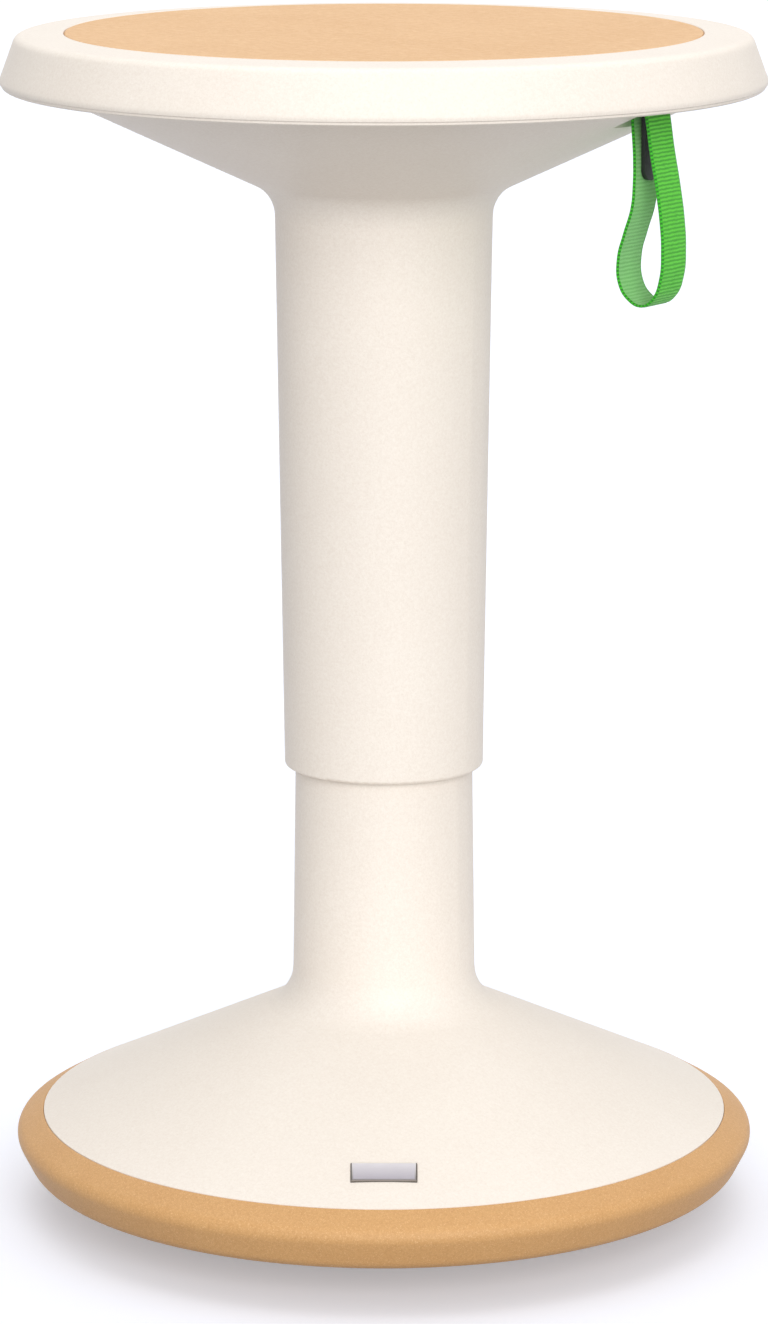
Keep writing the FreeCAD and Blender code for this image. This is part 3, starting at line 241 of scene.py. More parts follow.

# %% [markdown]
# ## Tan plastic and the pad
# The foot's ring is a softer, tan plastic. Where its stipple would catch the light, glints are
# painted into its colour as pale flecks, and it is scuffed in the last centimetre over the floor.
# The pad is a dull foam skin of the same family, a shade lighter, with a fine mottling and short
# pale scratches.

# %% Tan moulded plastic
tan = Finish("moulded_tan", IOR=1.45)
stipple = tan.speckle(0.5 * MM, 2.0)
fleck = tan.speckle(1.2 * MM, 3.0)
cloud = tan.speckle(30 * MM, 3.0)
scuff = tan.speckle(14 * MM, 4.0)
height_over_floor = tan.node("ShaderNodeSeparateXYZ", {}, {"Vector": tan.place}).out("Z")
floor_wear = (1 - height_over_floor.clear_of(2 * MM, 14 * MM)) * scuff.clear_of(0.45, 0.7)
# painted glint: pale flecks in the tan's colour where the stipple would catch the light
painted_glint = stipple.clear_of(0.6, 0.68)
shade = stipple * 0.45 + fleck * 0.4 + cloud * 0.15
clean = tan.mix(shade.clear_of(0.3, 0.7), tint(203, 151, 94), tint(227, 179, 121))
clean = tan.mix(painted_glint * 0.45, clean, tint(246, 210, 162))
tan_material = tan.finish(
    colour=tan.mix(floor_wear * 0.5, clean, tint(176, 142, 108)),
    roughness=0.46 + 0.1 * stipple + 0.15 * floor_wear,
    height=stipple + fleck * 0.6,
    depth=0.16 * MM,
)
print("made", tan_material.name)

# %% Tan pad
pad = Finish("pad_skin", IOR=1.4)
fibre = pad.speckle(0.8 * MM, 3.0)
mottle = pad.speckle(3.2 * MM, 3.0)
cloud = pad.speckle(60 * MM, 2.0)
shade = fibre * 0.45 + mottle * 0.35 + cloud * 0.2
scratch = pad.speckle(1.6 * MM, 3.0, stretch=(0.35, 1, 1)).clear_of(0.56, 0.66)
pad_colour = pad.mix(shade.clear_of(0.32, 0.68), tint(224, 178, 129), tint(243, 203, 158))
pad_material = pad.finish(
    colour=pad.mix(scratch * 0.3, pad_colour, tint(255, 222, 182)),
    roughness=0.6 + 0.15 * fibre,
    height=fibre + mottle * 0.6,
    depth=0.15 * MM,
)
print("made", pad_material.name)

# %% [markdown]
# ## Webbing
# The strap is woven nylon. The weft makes ribs across it that are modelled as geometry, so the
# finish only has to add the fine threads, the furrows between the ribs painted darker as shade, the
# stitches beside each edge and the dull inner face. Three numbers that the mesh carries say where a
# point is: how far along the strap, how far across it, and which face it is on.

# %% Green webbing
RIB_PITCH = 1.72 * MM
STRAP_WIDTH = 20 * MM
STRAP_THICKNESS = 1.5 * MM
EDGE = STRAP_WIDTH / 2
THREAD_PITCH = 0.55 * MM
TWILL_PITCH = 0.9 * MM
SWAY = 0.8 * MM
webbing = Finish("woven_green", IOR=1.5, Sheen_Weight=0.25, Sheen_Roughness=0.4)


def carried(finish, name):
    """A number that the mesh carries at each point."""
    return finish.node("ShaderNodeAttribute", {"attribute_name": name}).out("Fac")


def wave(place, pitch):
    """A wave from 0 to 1 that repeats with the pitch."""
    return (place * (2 * math.pi / pitch)).sine() * 0.5 + 0.5


along = carried(webbing, "along")
across = carried(webbing, "across")
facing = carried(webbing, "facing")
thread = wave(across, THREAD_PITCH)
twill = wave(along + across, TWILL_PITCH)
fluff = webbing.speckle(0.7 * MM, 3.0)
sway = webbing.speckle(3 * MM, 2.0) * SWAY
rib = wave(along + sway, RIB_PITCH)
patch = webbing.speckle(4 * MM, 2.0)
print("made", len(webbing.tree.nodes), "nodes of weave")

# %% Its edges and its colours
SELVEDGE = (1.6 * MM, 1.3 * MM)
STITCHES = (1.3 * MM, 1.0 * MM)
STITCHES_FADE = (0.4 * MM, 0.1 * MM)


def near_edge(start, end):
    """0 further than start from the strap's edge, 1 nearer to it than end."""
    return across.size().clear_of(EDGE - start, EDGE - end)


border = near_edge(*SELVEDGE)
stitch = (along * (2 * math.pi / RIB_PITCH)).sine().clear_of(-0.3, 0.3)
stitch_row = near_edge(*STITCHES) * (1 - near_edge(*STITCHES_FADE) * 0.5)
# painted shade: the outer face is darker in the furrows between the ribs, with random patches of
# tone over it
painted_rib_light_and_patches = rib.clear_of(0.0, 0.8) * (0.7 + patch * 0.6)
front = webbing.mix(painted_rib_light_and_patches, tint(50, 150, 22), tint(108, 234, 54))
front = webbing.mix(thread * 0.25 + fluff * 0.3, front, tint(58, 180, 30))
# the rib term paints shade into the inner face's furrows too, while the twill and fluff are its own
# weave
back = webbing.mix(rib * 0.4 + twill * 0.3 + fluff * 0.3, tint(108, 184, 96), tint(164, 232, 150))
face = webbing.mix(facing.clear_of(-0.2, 0.2), front, back)
face = webbing.mix(border, face, tint(62, 200, 32))
webbing_material = webbing.finish(
    colour=webbing.mix(stitch * stitch_row * 0.85, face, tint(14, 84, 12)),
    roughness=0.62 + 0.15 * fluff,
    height=thread * 0.5 + twill * 0.3 + fluff * 0.4,
    depth=0.12 * MM,
)
print("made", webbing_material.name)

# %% [markdown]
# ## Metals and dark parts
# These are the finishes of the mechanism, most of it out of sight: powder coat with its orange
# peel, turned steel and aluminium with fine rings round the axis, zinc plate with its crystals,
# sand-cast iron, rubber and black nylon.

# %% Metals


def turned_metal(name, low, high, ring, rough, depth):
    """A metal with tool marks round the stool's axis."""
    metal = Finish(name, Metallic=1.0)
    split = metal.node("ShaderNodeSeparateXYZ", {}, {"Vector": metal.place})
    x, y, z = split.out("X"), split.out("Y"), split.out("Z")
    radius = (x * x + y * y) ** 0.5
    line = metal.node("ShaderNodeCombineXYZ", {}, {"X": radius, "Z": z})
    rings = metal.speckle(ring, 4.0, place=line)
    haze = metal.speckle(9 * MM, 3.0)
    return metal.finish(
        colour=metal.mix((rings * 0.6 + haze * 0.4).clear_of(0.3, 0.7), low, high),
        roughness=rough + 0.16 * rings,
        height=rings,
        depth=depth,
    )


bright_steel_material = turned_metal(
    "ground_steel", low=tint(205, 206, 210), high=tint(232, 233, 236),
    ring=0.3 * MM, rough=0.08, depth=0.01 * MM)
aluminium_material = turned_metal(
    "turned_aluminium", low=tint(186, 188, 193), high=tint(214, 215, 219),
    ring=0.35 * MM, rough=0.24, depth=0.03 * MM)
print("made", bright_steel_material.name, aluminium_material.name)

# %% Zinc plate
CRYSTAL = 1.2 * MM
zinc = Finish("zinc_plate", Metallic=1.0)
crystal = zinc.node("ShaderNodeTexVoronoi", {"feature": "F1"},
                    {"Vector": zinc.place, "Scale": 1 / CRYSTAL})
haze = zinc.speckle(5 * MM, 3.0)
crystal_shade = crystal.out("Distance") * 0.5 + haze * 0.6
zinc_material = zinc.finish(
    colour=zinc.mix(crystal_shade.clear_of(0.3, 0.8), tint(180, 182, 186), tint(208, 208, 206)),
    roughness=0.28 + 0.2 * haze,
    height=crystal_shade,
    depth=0.03 * MM,
)
print("made", zinc_material.name)

# %% Powder coat, cast iron, rubber and nylon


def coarse(name, low, high, grain, rough, depth, metallic=0.0):
    """A dark finish with one main grain."""
    dark = Finish(name, Metallic=metallic)
    bumps = dark.speckle(grain, 3.0)
    haze = dark.speckle(grain * 14, 3.0)
    return dark.finish(
        colour=dark.mix((bumps * 0.5 + haze * 0.5).clear_of(0.32, 0.68), low, high),
        roughness=rough + 0.18 * haze,
        height=bumps + haze * 0.4,
        depth=depth,
    )


black_steel_material = coarse(
    "powder_black", low=tint(30, 31, 33), high=tint(44, 45, 47),
    grain=1.1 * MM, rough=0.3, depth=0.08 * MM)
cast_iron_material = coarse(
    "sand_cast_iron", low=tint(70, 70, 72), high=tint(100, 99, 98),
    grain=1.6 * MM, rough=0.5, depth=0.35 * MM, metallic=0.6)
rubber_material = coarse(
    "moulded_rubber", low=tint(26, 26, 27), high=tint(38, 38, 38),
    grain=0.8 * MM, rough=0.68, depth=0.05 * MM)
black_plastic_material = coarse(
    "black_nylon", low=tint(24, 23, 26), high=tint(40, 38, 42),
    grain=0.6 * MM, rough=0.34, depth=0.04 * MM)
print("made", black_steel_material.name, cast_iron_material.name, rubber_material.name,
      black_plastic_material.name)

# %% [markdown]
# ## Badge
# A small satin plate, let into the cone and left bare. A painted sheen makes its brightness run
# from one long edge to the other, and further on the bevelled border, which is painted darker below
# and bright above as light would fall on it. Outside the bevel its thin side is painted dark as
# shade.
# All of that is worked out from the distance to the border, so a Mapping node first turns the
# piece's coordinates to the plate's own, with its middle as the origin.

# %% Satin badge plate
BADGE_AZIMUTH = -55.0
BADGE_SLOPE = 25.0
low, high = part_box("badge")
badge_middle = (Vector(low) + Vector(high)) / 2
badge = Finish("satin_plate", Metallic=1.0)
turn = (math.radians(BADGE_SLOPE), 0, math.radians(BADGE_AZIMUTH + 90))
plate_place = badge.node("ShaderNodeMapping", {"vector_type": "TEXTURE"},
                         {"Vector": badge.place, "Location": badge_middle, "Rotation": turn})
split = badge.node("ShaderNodeSeparateXYZ", {}, {"Vector": plate_place})
sideways, upwards = split.out("X"), split.out("Y")
brush = badge.speckle(0.25 * MM, 3.0, stretch=(0.06, 1, 1), place=plate_place)
print("badge middle", [round(part, 4) for part in badge_middle])

# %% Its border and its colours
PLATE_LENGTH = 29 * MM
PLATE_HEIGHT = 11.8 * MM
SIDE_END = (0.35 * MM, 0.6 * MM)
BEVEL_END = (0.9 * MM, 1.2 * MM)
SHEEN_REACH = 5 * MM
from_end = PLATE_LENGTH / 2 - sideways.size()
from_edge = PLATE_HEIGHT / 2 - upwards.size()
from_border = from_end.smaller(from_edge)
# painted shade on the plate's thin side, all round its border
painted_side_shade = 1 - from_border.clear_of(*SIDE_END)
bevel = 1 - from_border.clear_of(*BEVEL_END)
# painted sheen: lighter towards the upper long edge, darker towards the lower one
painted_sheen = upwards.clear_of(-SHEEN_REACH, SHEEN_REACH)
plate_colour = badge.mix(painted_sheen * 0.8 + brush * 0.2, tint(184, 182, 196), tint(236, 236, 244))
# painted light on the bevel: darker below and bright above
painted_bevel_light = badge.mix(painted_sheen, tint(150, 147, 150), tint(236, 235, 240))
plate_colour = badge.mix(bevel, plate_colour, painted_bevel_light)
badge_material = badge.finish(
    colour=badge.mix(painted_side_shade, plate_colour, tint(92, 86, 80)),
    roughness=0.34 + 0.16 * brush,
    height=from_border.clear_of(0.3 * MM, 1.2 * MM) * 0.5 + brush * 0.1,
    depth=0.06 * MM,
)
print("made", badge_material.name)

# %% [markdown]
# ## Finishes on the carried-over solids
# The solids of the engineering model keep their meshes. Each one gets the finish of its material
# slot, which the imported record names.

# %% Give each solid its finish
FINISHES = {
    "pad": pad_material,
    "white_plastic": white_material,
    "tan_plastic": tan_material,
    "badge_metal": badge_material,
    "green_webbing": webbing_material,
    "black_plastic": black_plastic_material,
    "rubber": rubber_material,
    "cast_iron": cast_iron_material,
    "black_steel": black_steel_material,
    "bright_steel": bright_steel_material,
    "bare_aluminium": aluminium_material,
    "zinc_steel": zinc_material,
}
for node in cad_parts.values():
    for material_slot in node.material_slots:
        slot_name = material_slot.material.name.split(".")[0]
        material_slot.material = FINISHES[slot_name]
print("finished", len(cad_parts), "solids")

# %% [markdown]
# ## Building with geometry nodes
# A geometry tree is a recipe with named inputs. The helper below makes the recipe, gives it its
# inputs, and turns its result into one plain mesh, so that nothing stays live on the finished
# piece.

# %% A recipe and how it is used


class Recipe(Tree):
    """A geometry tree with named inputs."""

    def __init__(self, name, inputs):
        group = bpy.data.node_groups.new(name, "GeometryNodeTree")
        super().__init__(group)
        sockets = group.interface
        sockets.new_socket("Geometry", in_out="INPUT", socket_type="NodeSocketGeometry")
        sockets.new_socket("Geometry", in_out="OUTPUT", socket_type="NodeSocketGeometry")
        for label, kind in inputs.items():
            sockets.new_socket(label, in_out="INPUT", socket_type="NodeSocket" + kind)
        self.start = self.node("NodeGroupInput")

    def given(self, label):
        """One of the recipe's inputs."""
        return self.start.out(label)

    def close(self, geometry):
        """End in real meshes with the finish on them."""
        real = self.node("GeometryNodeRealizeInstances", {}, {"Geometry": geometry})
        coated = self.node("GeometryNodeSetMaterial", {},
                           {"Geometry": real, "Material": self.given("Finish")})
        self.node("NodeGroupOutput", {}, {"Geometry": coated})

    def bake(self, name, data, values):
        """Run the recipe on the mesh or curve data and keep its result as a plain mesh."""
        source = bpy.data.objects.new(name + "_source", data)
        bpy.context.scene.collection.objects.link(source)
        modifier = source.modifiers.new("recipe", "NODES")
        modifier.node_group = self.tree
        for item in self.tree.interface.items_tree:
            if item.in_out == "INPUT" and item.name in values:
                modifier[item.identifier] = values[item.name]
        graph = bpy.context.evaluated_depsgraph_get()
        mesh = bpy.data.meshes.new_from_object(source.evaluated_get(graph))
        source.modifiers.remove(modifier)
        bpy.data.objects.remove(source)
        mesh.name = name
        piece = bpy.data.objects.new(name, mesh)
        bpy.context.scene.collection.objects.link(piece)
        print(name, "has", len(mesh.polygons), "faces")
        return piece


print("recipe helper ready")

# %% [markdown]
# ## Turned pieces
# The pad, the rim and the foot are round, so the whole shape of each is one outline turned about
# the axis. The recipe sweeps the outline along a circle, and first moves it inwards by that
# circle's own radius, so that it ends up at its real distance from the axis. A lathe in mesh code
# would do the same, but here the steps and the finish stay named inputs. Edges sharper than a
# limit are marked, so that rounded corners shade softly and cut ones stay crisp.

# %% Crisp edges
SHARP_ANGLE = math.radians(32)


def crisp(recipe, mesh):
    """Smooth shading all over but for the edges sharper than the limit."""
    angle = recipe.node("GeometryNodeInputMeshEdgeAngle").out("Unsigned Angle")
    sharp = recipe.node("FunctionNodeCompare", {"data_type": "FLOAT", "operation": "GREATER_THAN"},
                        {0: angle, 1: SHARP_ANGLE})
    soft = recipe.node("GeometryNodeSetShadeSmooth", {"domain": "FACE"},
                       {"Geometry": mesh, "Shade Smooth": True})
    return recipe.node("GeometryNodeSetShadeSmooth", {"domain": "EDGE"},
                       {"Geometry": soft, "Selection": sharp, "Shade Smooth": False})


print("sharp above %.0f degrees" % math.degrees(SHARP_ANGLE))

# %% The turning recipe
TURNING_RADIUS = 1.0
WELD = 0.01 * MM
turning = Recipe("turned_piece", {"Steps": "Int", "Finish": "Material"})
outline_curve = turning.node("GeometryNodeMeshToCurve", {}, {"Mesh": turning.given("Geometry")})
moved_outline = turning.node("GeometryNodeTransform", {},
                             {"Geometry": outline_curve, "Translation": (-TURNING_RADIUS, 0, 0)})
circle = turning.node("GeometryNodeCurvePrimitiveCircle", {"mode": "RADIUS"},
                      {"Resolution": turning.given("Steps"), "Radius": TURNING_RADIUS})
swept = turning.node("GeometryNodeCurveToMesh", {},
                     {"Curve": circle, "Profile Curve": moved_outline})
welded = turning.node("GeometryNodeMergeByDistance", {}, {"Geometry": swept, "Distance": WELD})
outward = turning.node("GeometryNodeFlipFaces", {}, {"Mesh": welded})
turning.close(crisp(turning, outward))
print("turning recipe ready")

# %% Outlines for it
ARC_STEPS = 8


def rounded(corners, steps=ARC_STEPS):
    """The outline with each (x, y, radius) corner turned into an arc."""
    points = []
    for index, (x, y, radius) in enumerate(corners):
        here = Vector((x, y))
        if radius == 0:
            points.append(here)
            continue
        before = (Vector(corners[index - 1][:2]) - here).normalized()
        after = (Vector(corners[index + 1][:2]) - here).normalized()
        half_angle = before.angle(after) / 2
        centre = here + (before + after).normalized() * (radius / math.sin(half_angle))
        reach = radius / math.tan(half_angle)
        first = here + before * reach - centre
        last = here + after * reach - centre
        turn = math.atan2(first.cross(last), first.dot(last))
        for step in range(steps + 1):
            angle = turn * step / steps
            cosine, sine = math.cos(angle), math.sin(angle)
            points.append(centre + Vector((first.x * cosine - first.y * sine,
                                           first.x * sine + first.y * cosine)))
    return points


def spaced(points, longest):
    """The outline with its straight runs divided into steps no longer than the given length."""
    closer = [points[0]]
    for start, end in zip(points, points[1:]):
        count = max(1, math.ceil((end - start).length / longest))
        closer += [start.lerp(end, step / count) for step in range(1, count + 1)]
    return closer


def outline_mesh(name, points):
    """An outline of (radius, height) points, laid flat and head down for the sweep."""
    mesh = bpy.data.meshes.new(name)
    corners = [(radius, -height, 0) for radius, height in points]
    edges = [(index, index + 1) for index in range(len(points) - 1)]
    mesh.from_pydata(corners, edges, [])
    return mesh


print("outline helpers ready")

# %% [markdown]
# ## Seat pad
# The pad is a thin disc of skinned foam, let into the rim with its top level with it. Its skin is
# drawn tight over the edge, so the top is very slightly crowned and the edge rolls over. A
# sculpted cushion would be too much for 0.25 mm of crown, so the pad is one more turned outline.

# %% Turn the pad
ROUND_STEPS = 192
low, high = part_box("seat_pad")
pad_radius = high.x
pad_top = high.z
pad_bottom = low.z
PAD_ROUND = 0.9 * MM
PAD_UNDER_ROUND = 0.4 * MM
CROWN = 0.25 * MM
CROWN_SHARES = (0.99, 0.96, 0.92, 0.85, 0.75, 0.6, 0.4, 0.2)
corners = [
    (0, pad_bottom, 0),
    (pad_radius, pad_bottom, PAD_UNDER_ROUND),
    (pad_radius, pad_top, PAD_ROUND),
]
for share in CROWN_SHARES:
    corners.append((pad_radius * share, pad_top + CROWN * (1 - share ** 2), 0))
corners.append((0, pad_top + CROWN, 0))
pad_outline = outline_mesh("pad_outline", rounded(corners))
seat_pad = turning.bake("pad_disc", pad_outline, {"Steps": ROUND_STEPS, "Finish": pad_material})
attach(seat_pad, "seat")
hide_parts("seat_pad")
print("pad radius %.4f, top %.4f" % (pad_radius, pad_top))

# %% [markdown]
# ## Drilled holes
# Six screws hold the seat from above, under the pad, and six more hold the foot from below. Their
# stepped holes repeat round a circle, so a second recipe stands one cutter on each point of a ring
# and takes the cutters away from the piece.

# %% The drilling recipe
drilling = Recipe("drilled_piece", {"Cutter": "Object", "Holes": "Int", "Circle": "Float",
                                    "Turn": "Float", "Finish": "Material"})
ring = drilling.node("GeometryNodeMeshCircle", {"fill_type": "NONE"},
                     {"Vertices": drilling.given("Holes"), "Radius": drilling.given("Circle")})
ring_turn = drilling.node("ShaderNodeCombineXYZ", {}, {"Z": drilling.given("Turn")})
turned_ring = drilling.node("GeometryNodeTransform", {}, {"Geometry": ring, "Rotation": ring_turn})
cutter = drilling.node("GeometryNodeObjectInfo", {"transform_space": "ORIGINAL"},
                       {"Object": drilling.given("Cutter")}).out("Geometry")
cutters = drilling.node("GeometryNodeInstanceOnPoints", {},
                        {"Points": turned_ring, "Instance": cutter})
real_cutters = drilling.node("GeometryNodeRealizeInstances", {}, {"Geometry": cutters})
cut_away = drilling.node("GeometryNodeMeshBoolean", {"operation": "DIFFERENCE", "solver": "EXACT"},
                         {"Mesh 1": drilling.given("Geometry"), "Mesh 2": real_cutters})
drilling.close(crisp(drilling, cut_away))
print("drilling recipe ready")

# %% A ring of stepped holes
SCREW_HOLE = 2.8 * MM
HEAD_SEAT = 5.3 * MM
HOLES = 6
HOLE_TURN = math.radians(30)
HOLE_STEPS = 40
OVERSHOOT = 1 * MM


def drill(name, blank, corners, circle, finish):
    """The blank with a ring of stepped holes whose outline is given from axis to axis."""
    outline = outline_mesh(name + "_cutter_outline", rounded(corners))
    cutter = turning.bake(name + "_cutter", outline, {"Steps": HOLE_STEPS, "Finish": finish})
    piece = drilling.bake(name, blank.data, {"Cutter": cutter, "Holes": HOLES, "Circle": circle,
                                             "Turn": HOLE_TURN, "Finish": finish})
    for used in (blank, cutter):
        bpy.data.objects.remove(used)
    return piece


print(HOLES, "holes to each ring")

# %% [markdown]
# ## Rim
# The white rim is what one sees first: it falls three degrees from the pad, rounds over a soft
# corner, leans out to a rolled lip and turns under. Its highlight follows those rounds, so they
# need many small steps, which is why this turned piece stands for the coarser solid. The fine line
# along the lip, where the halves of the mould meet, is one point of the outline pressed in.

# %% The rim's sizes
low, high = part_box("seat_shell")
seat_radius = high.x
seat_height = high.z
lip_bottom = low.z
LIP_ROUND = 3.5 * MM
CROWN_ROUND = 4.25 * MM
EDGE_ROUND = 0.6 * MM
RIM_WALL = 3.5 * MM
LIP_WIDTH = 19 * MM
PAD_GAP = 0.3 * MM
DECK = 4.5 * MM
GROOVE_ANGLE = math.radians(-35)
GROOVE_DEPTH = 0.45 * MM
RIM_LEAN = math.radians(20.2)
RIM_FALL = math.radians(3)
RIM_STEP = 4 * MM
SCREW_INSET = 36 * MM
HEAD_DEPTH = 3 * MM
lean = math.tan(RIM_LEAN)
fall = math.tan(RIM_FALL)
pocket = pad_radius + PAD_GAP
deck_under = pad_bottom - DECK
lip_top = lip_bottom + RIM_WALL
lip_corner = seat_radius + LIP_ROUND * (lean + math.hypot(1, lean) - 1)
crown_height = (seat_height - (lip_corner - pocket + lip_bottom * lean) * fall) / (1 - lean * fall)
crown_corner = lip_corner - (crown_height - lip_bottom) * lean
rim_inside = lip_corner - RIM_WALL * math.hypot(1, lean)
print("rim corner at %.4f, %.4f" % (crown_corner, crown_height))

# %% Turn the rim
corners = [
    (0, deck_under, 0),
    (rim_inside - (deck_under - lip_bottom) * lean, deck_under, 0),
    (rim_inside - RIM_WALL * lean, lip_top, 0),
    (seat_radius - LIP_WIDTH, lip_top, 0),
    (seat_radius - LIP_WIDTH, lip_bottom, EDGE_ROUND),
    (lip_corner, lip_bottom, LIP_ROUND),
    (crown_corner, crown_height, CROWN_ROUND),
    (pocket, seat_height, EDGE_ROUND),
    (pocket, pad_bottom, 0),
    (0, pad_bottom, 0),
]
rim_points = rounded(corners)
lip_centre = Vector((seat_radius - LIP_ROUND, lip_bottom + LIP_ROUND))
groove_way = Vector((math.cos(GROOVE_ANGLE), math.sin(GROOVE_ANGLE)))
groove = min(rim_points, key=lambda point: (point - lip_centre - groove_way * LIP_ROUND).length)
groove -= groove_way * GROOVE_DEPTH
rim_outline = outline_mesh("rim_outline", spaced(rim_points, RIM_STEP))
rim_blank = turning.bake("rim_blank", rim_outline, {"Steps": ROUND_STEPS, "Finish": white_material})
print("lip's line pressed in by %.2f mm" % (GROOVE_DEPTH / MM))

# %% Drill the rim
seat_screw_circle = seat_radius - LIP_WIDTH - SCREW_INSET
head_floor = pad_bottom - HEAD_DEPTH
over = pad_bottom + OVERSHOOT
under = deck_under - OVERSHOOT
stepped = [
    (0, under, 0),
    (SCREW_HOLE, under, 0),
    (SCREW_HOLE, head_floor, 0),
    (HEAD_SEAT, head_floor, 0),
    (HEAD_SEAT, over, 0),
    (0, over, 0),
]
rim = drill("seat_rim", rim_blank, stepped, seat_screw_circle, white_material)
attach(rim, "seat")
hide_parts("seat_shell")
print("seat screws on a circle of %.4f" % seat_screw_circle)

# %% [markdown]
# ## Foot
# The foot is one tan moulding: a ring that slopes down round the white cone, a rounded side, and a
# shallow dome of 600 mm radius underneath, on which the stool rocks. A flat in its middle lets it
# stand. Like the rim it is turned anew from its outline, because its round side shows every step.

# %% The foot's sizes
low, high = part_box("foot_sole")
ring_top = high.z
FOOT_RADIUS = 171.07 * MM
RING_WIDTH = 14.07 * MM
UNDERCUT = 8.77 * MM
RING_ROUND = 6 * MM
BOTTOM_ROUND = 8.9 * MM
DOME = 600 * MM
FLAT = 45 * MM
SOLE_WALL = 5 * MM
COVER_WALL = 3 * MM
CONE_SLOPE = math.radians(25)
LEDGE_DROP = COVER_WALL / math.cos(CONE_SLOPE)
LEDGE_GAP = 0.15 * MM
LEDGE_ROUND = 0.3 * MM
SKIRT_INSET = 6.7 * MM
RING_SLOPE = math.radians(29.8)
slope = math.tan(RING_SLOPE)
edge_radius = FOOT_RADIUS - RING_WIDTH
ledge_radius = edge_radius + LEDGE_GAP
bottom_corner = FOOT_RADIUS - UNDERCUT
dome_middle = math.sqrt(DOME ** 2 - FLAT ** 2)


def dome_height(radius, dome=DOME):
    """Height of the dome's surface over the floor."""
    return dome_middle - math.sqrt(dome ** 2 - radius ** 2)


print("foot ring from %.4f to %.4f" % (edge_radius, FOOT_RADIUS))

# %% Turn the foot
DOME_STEPS = 16
DOME_MARGIN = 5 * MM
FOOT_ARC_STEPS = 10
FOOT_STEP = 6 * MM


def even_steps(start, end):
    """Radii from start to end, both included, in the dome's steps."""
    return [start + (end - start) * step / DOME_STEPS for step in range(DOME_STEPS + 1)]


inner_dome = DOME - SOLE_WALL
bore = edge_radius - SKIRT_INSET
inner_flat = math.sqrt(inner_dome ** 2 - (dome_middle - SOLE_WALL) ** 2)
corners = [(0, 0, 0)]
for radius in even_steps(FLAT, bottom_corner - DOME_MARGIN):
    corners.append((radius, dome_height(radius), 0))
corners += [
    (bottom_corner, dome_height(bottom_corner), BOTTOM_ROUND),
    (FOOT_RADIUS, ring_top - RING_WIDTH * slope, RING_ROUND),
    (ledge_radius, ring_top, LEDGE_ROUND),
    (ledge_radius, ring_top - LEDGE_DROP, 0),
    (bore, ring_top - LEDGE_DROP, 0),
]
for radius in even_steps(bore, inner_flat):
    corners.append((radius, dome_height(radius, inner_dome), 0))
corners.append((0, SOLE_WALL, 0))
foot_points = spaced(rounded(corners, FOOT_ARC_STEPS), FOOT_STEP)
foot_outline = outline_mesh("foot_outline", foot_points)
foot_blank = turning.bake("foot_blank", foot_outline,
                          {"Steps": ROUND_STEPS, "Finish": tan_material})
print("dome rises to %.4f at its corner" % dome_height(bottom_corner))

# %% Drill the foot
BASE_SCREW_CIRCLE = 95 * MM
HEAD_ROOF = 10.8 * MM
CUTTER_TOP = 20 * MM
stepped = [
    (0, -OVERSHOOT, 0),
    (HEAD_SEAT, -OVERSHOOT, 0),
    (HEAD_SEAT, HEAD_ROOF, 0),
    (SCREW_HOLE, HEAD_ROOF, 0),
    (SCREW_HOLE, CUTTER_TOP, 0),
    (0, CUTTER_TOP, 0),
]
foot = drill("foot_ring", foot_blank, stepped, BASE_SCREW_CIRCLE, tan_material)
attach(foot, "base")
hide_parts("foot_sole")
print("base screws on a circle of %.4f" % BASE_SCREW_CIRCLE)

# %% [markdown]
# ## Pull strap
# The loop hangs from a bar under the seat. Its route is a smooth closed line through the points of
# the engineering model, in the plane of the strap's swing. A recipe sweeps the webbing's thin,
# soft-edged section along it, then sinks the surface between the ribs of the weft. Ribs from a
# bump alone would leave the strap's outline straight, and up close it isn't.

# %% The strap's route
BAR = (139.1 * MM, 514.0 * MM)
WRAP = 3.05 * MM
TONGUE = 2.05 * MM
DROP = 84.2 * MM
LOOP = [(-0.036, -0.50), (-0.082, -0.643), (-0.115, -0.76), (-0.108, -0.892), (-0.055, -0.969),
        (0.027, -1.0), (0.097, -0.957), (0.14, -0.855), (0.15, -0.708), (0.139, -0.559),
        (0.114, -0.404), (0.076, -0.217)]
route = [(-WRAP, 0), (-TONGUE, -0.26 * DROP), (-TONGUE, -0.37 * DROP)]
route += [(x * DROP, z * DROP) for x, z in LOOP]
half_way = WRAP / math.sqrt(2)
route += [(WRAP, 0), (half_way, half_way), (0, WRAP), (-half_way, half_way)]
route_curve = bpy.data.curves.new("strap_route", "CURVE")
route_curve.dimensions = "3D"
spline = route_curve.splines.new("BEZIER")
spline.bezier_points.add(len(route) - 1)
for point, (x, z) in zip(spline.bezier_points, route):
    point.co = (BAR[0] + x, 0, BAR[1] + z)
    point.handle_left_type = "AUTO"
    point.handle_right_type = "AUTO"
spline.use_cyclic_u = True
spline.resolution_u = 24
print("route of", len(route), "points")

# %% The webbing recipe
SECTION_ROUND = 0.42
SECTION_POINTS = 40
weaving = Recipe("webbing", {"Width": "Float", "Thickness": "Float", "Rib Pitch": "Float",
                             "Rib Height": "Float", "Steps": "Int", "Finish": "Material"})
line = weaving.node("GeometryNodeResampleCurve", {},
                    {"Curve": weaving.given("Geometry"), "Count": weaving.given("Steps")})
length_so_far = weaving.node("GeometryNodeSplineParameter").out("Length")


def store(geometry, name, value):
    """The geometry with a number at each of its points."""
    settings = {"data_type": "FLOAT", "domain": "POINT"}
    return weaving.node("GeometryNodeStoreNamedAttribute", settings,
                        {"Geometry": geometry, "Name": name, "Value": value})


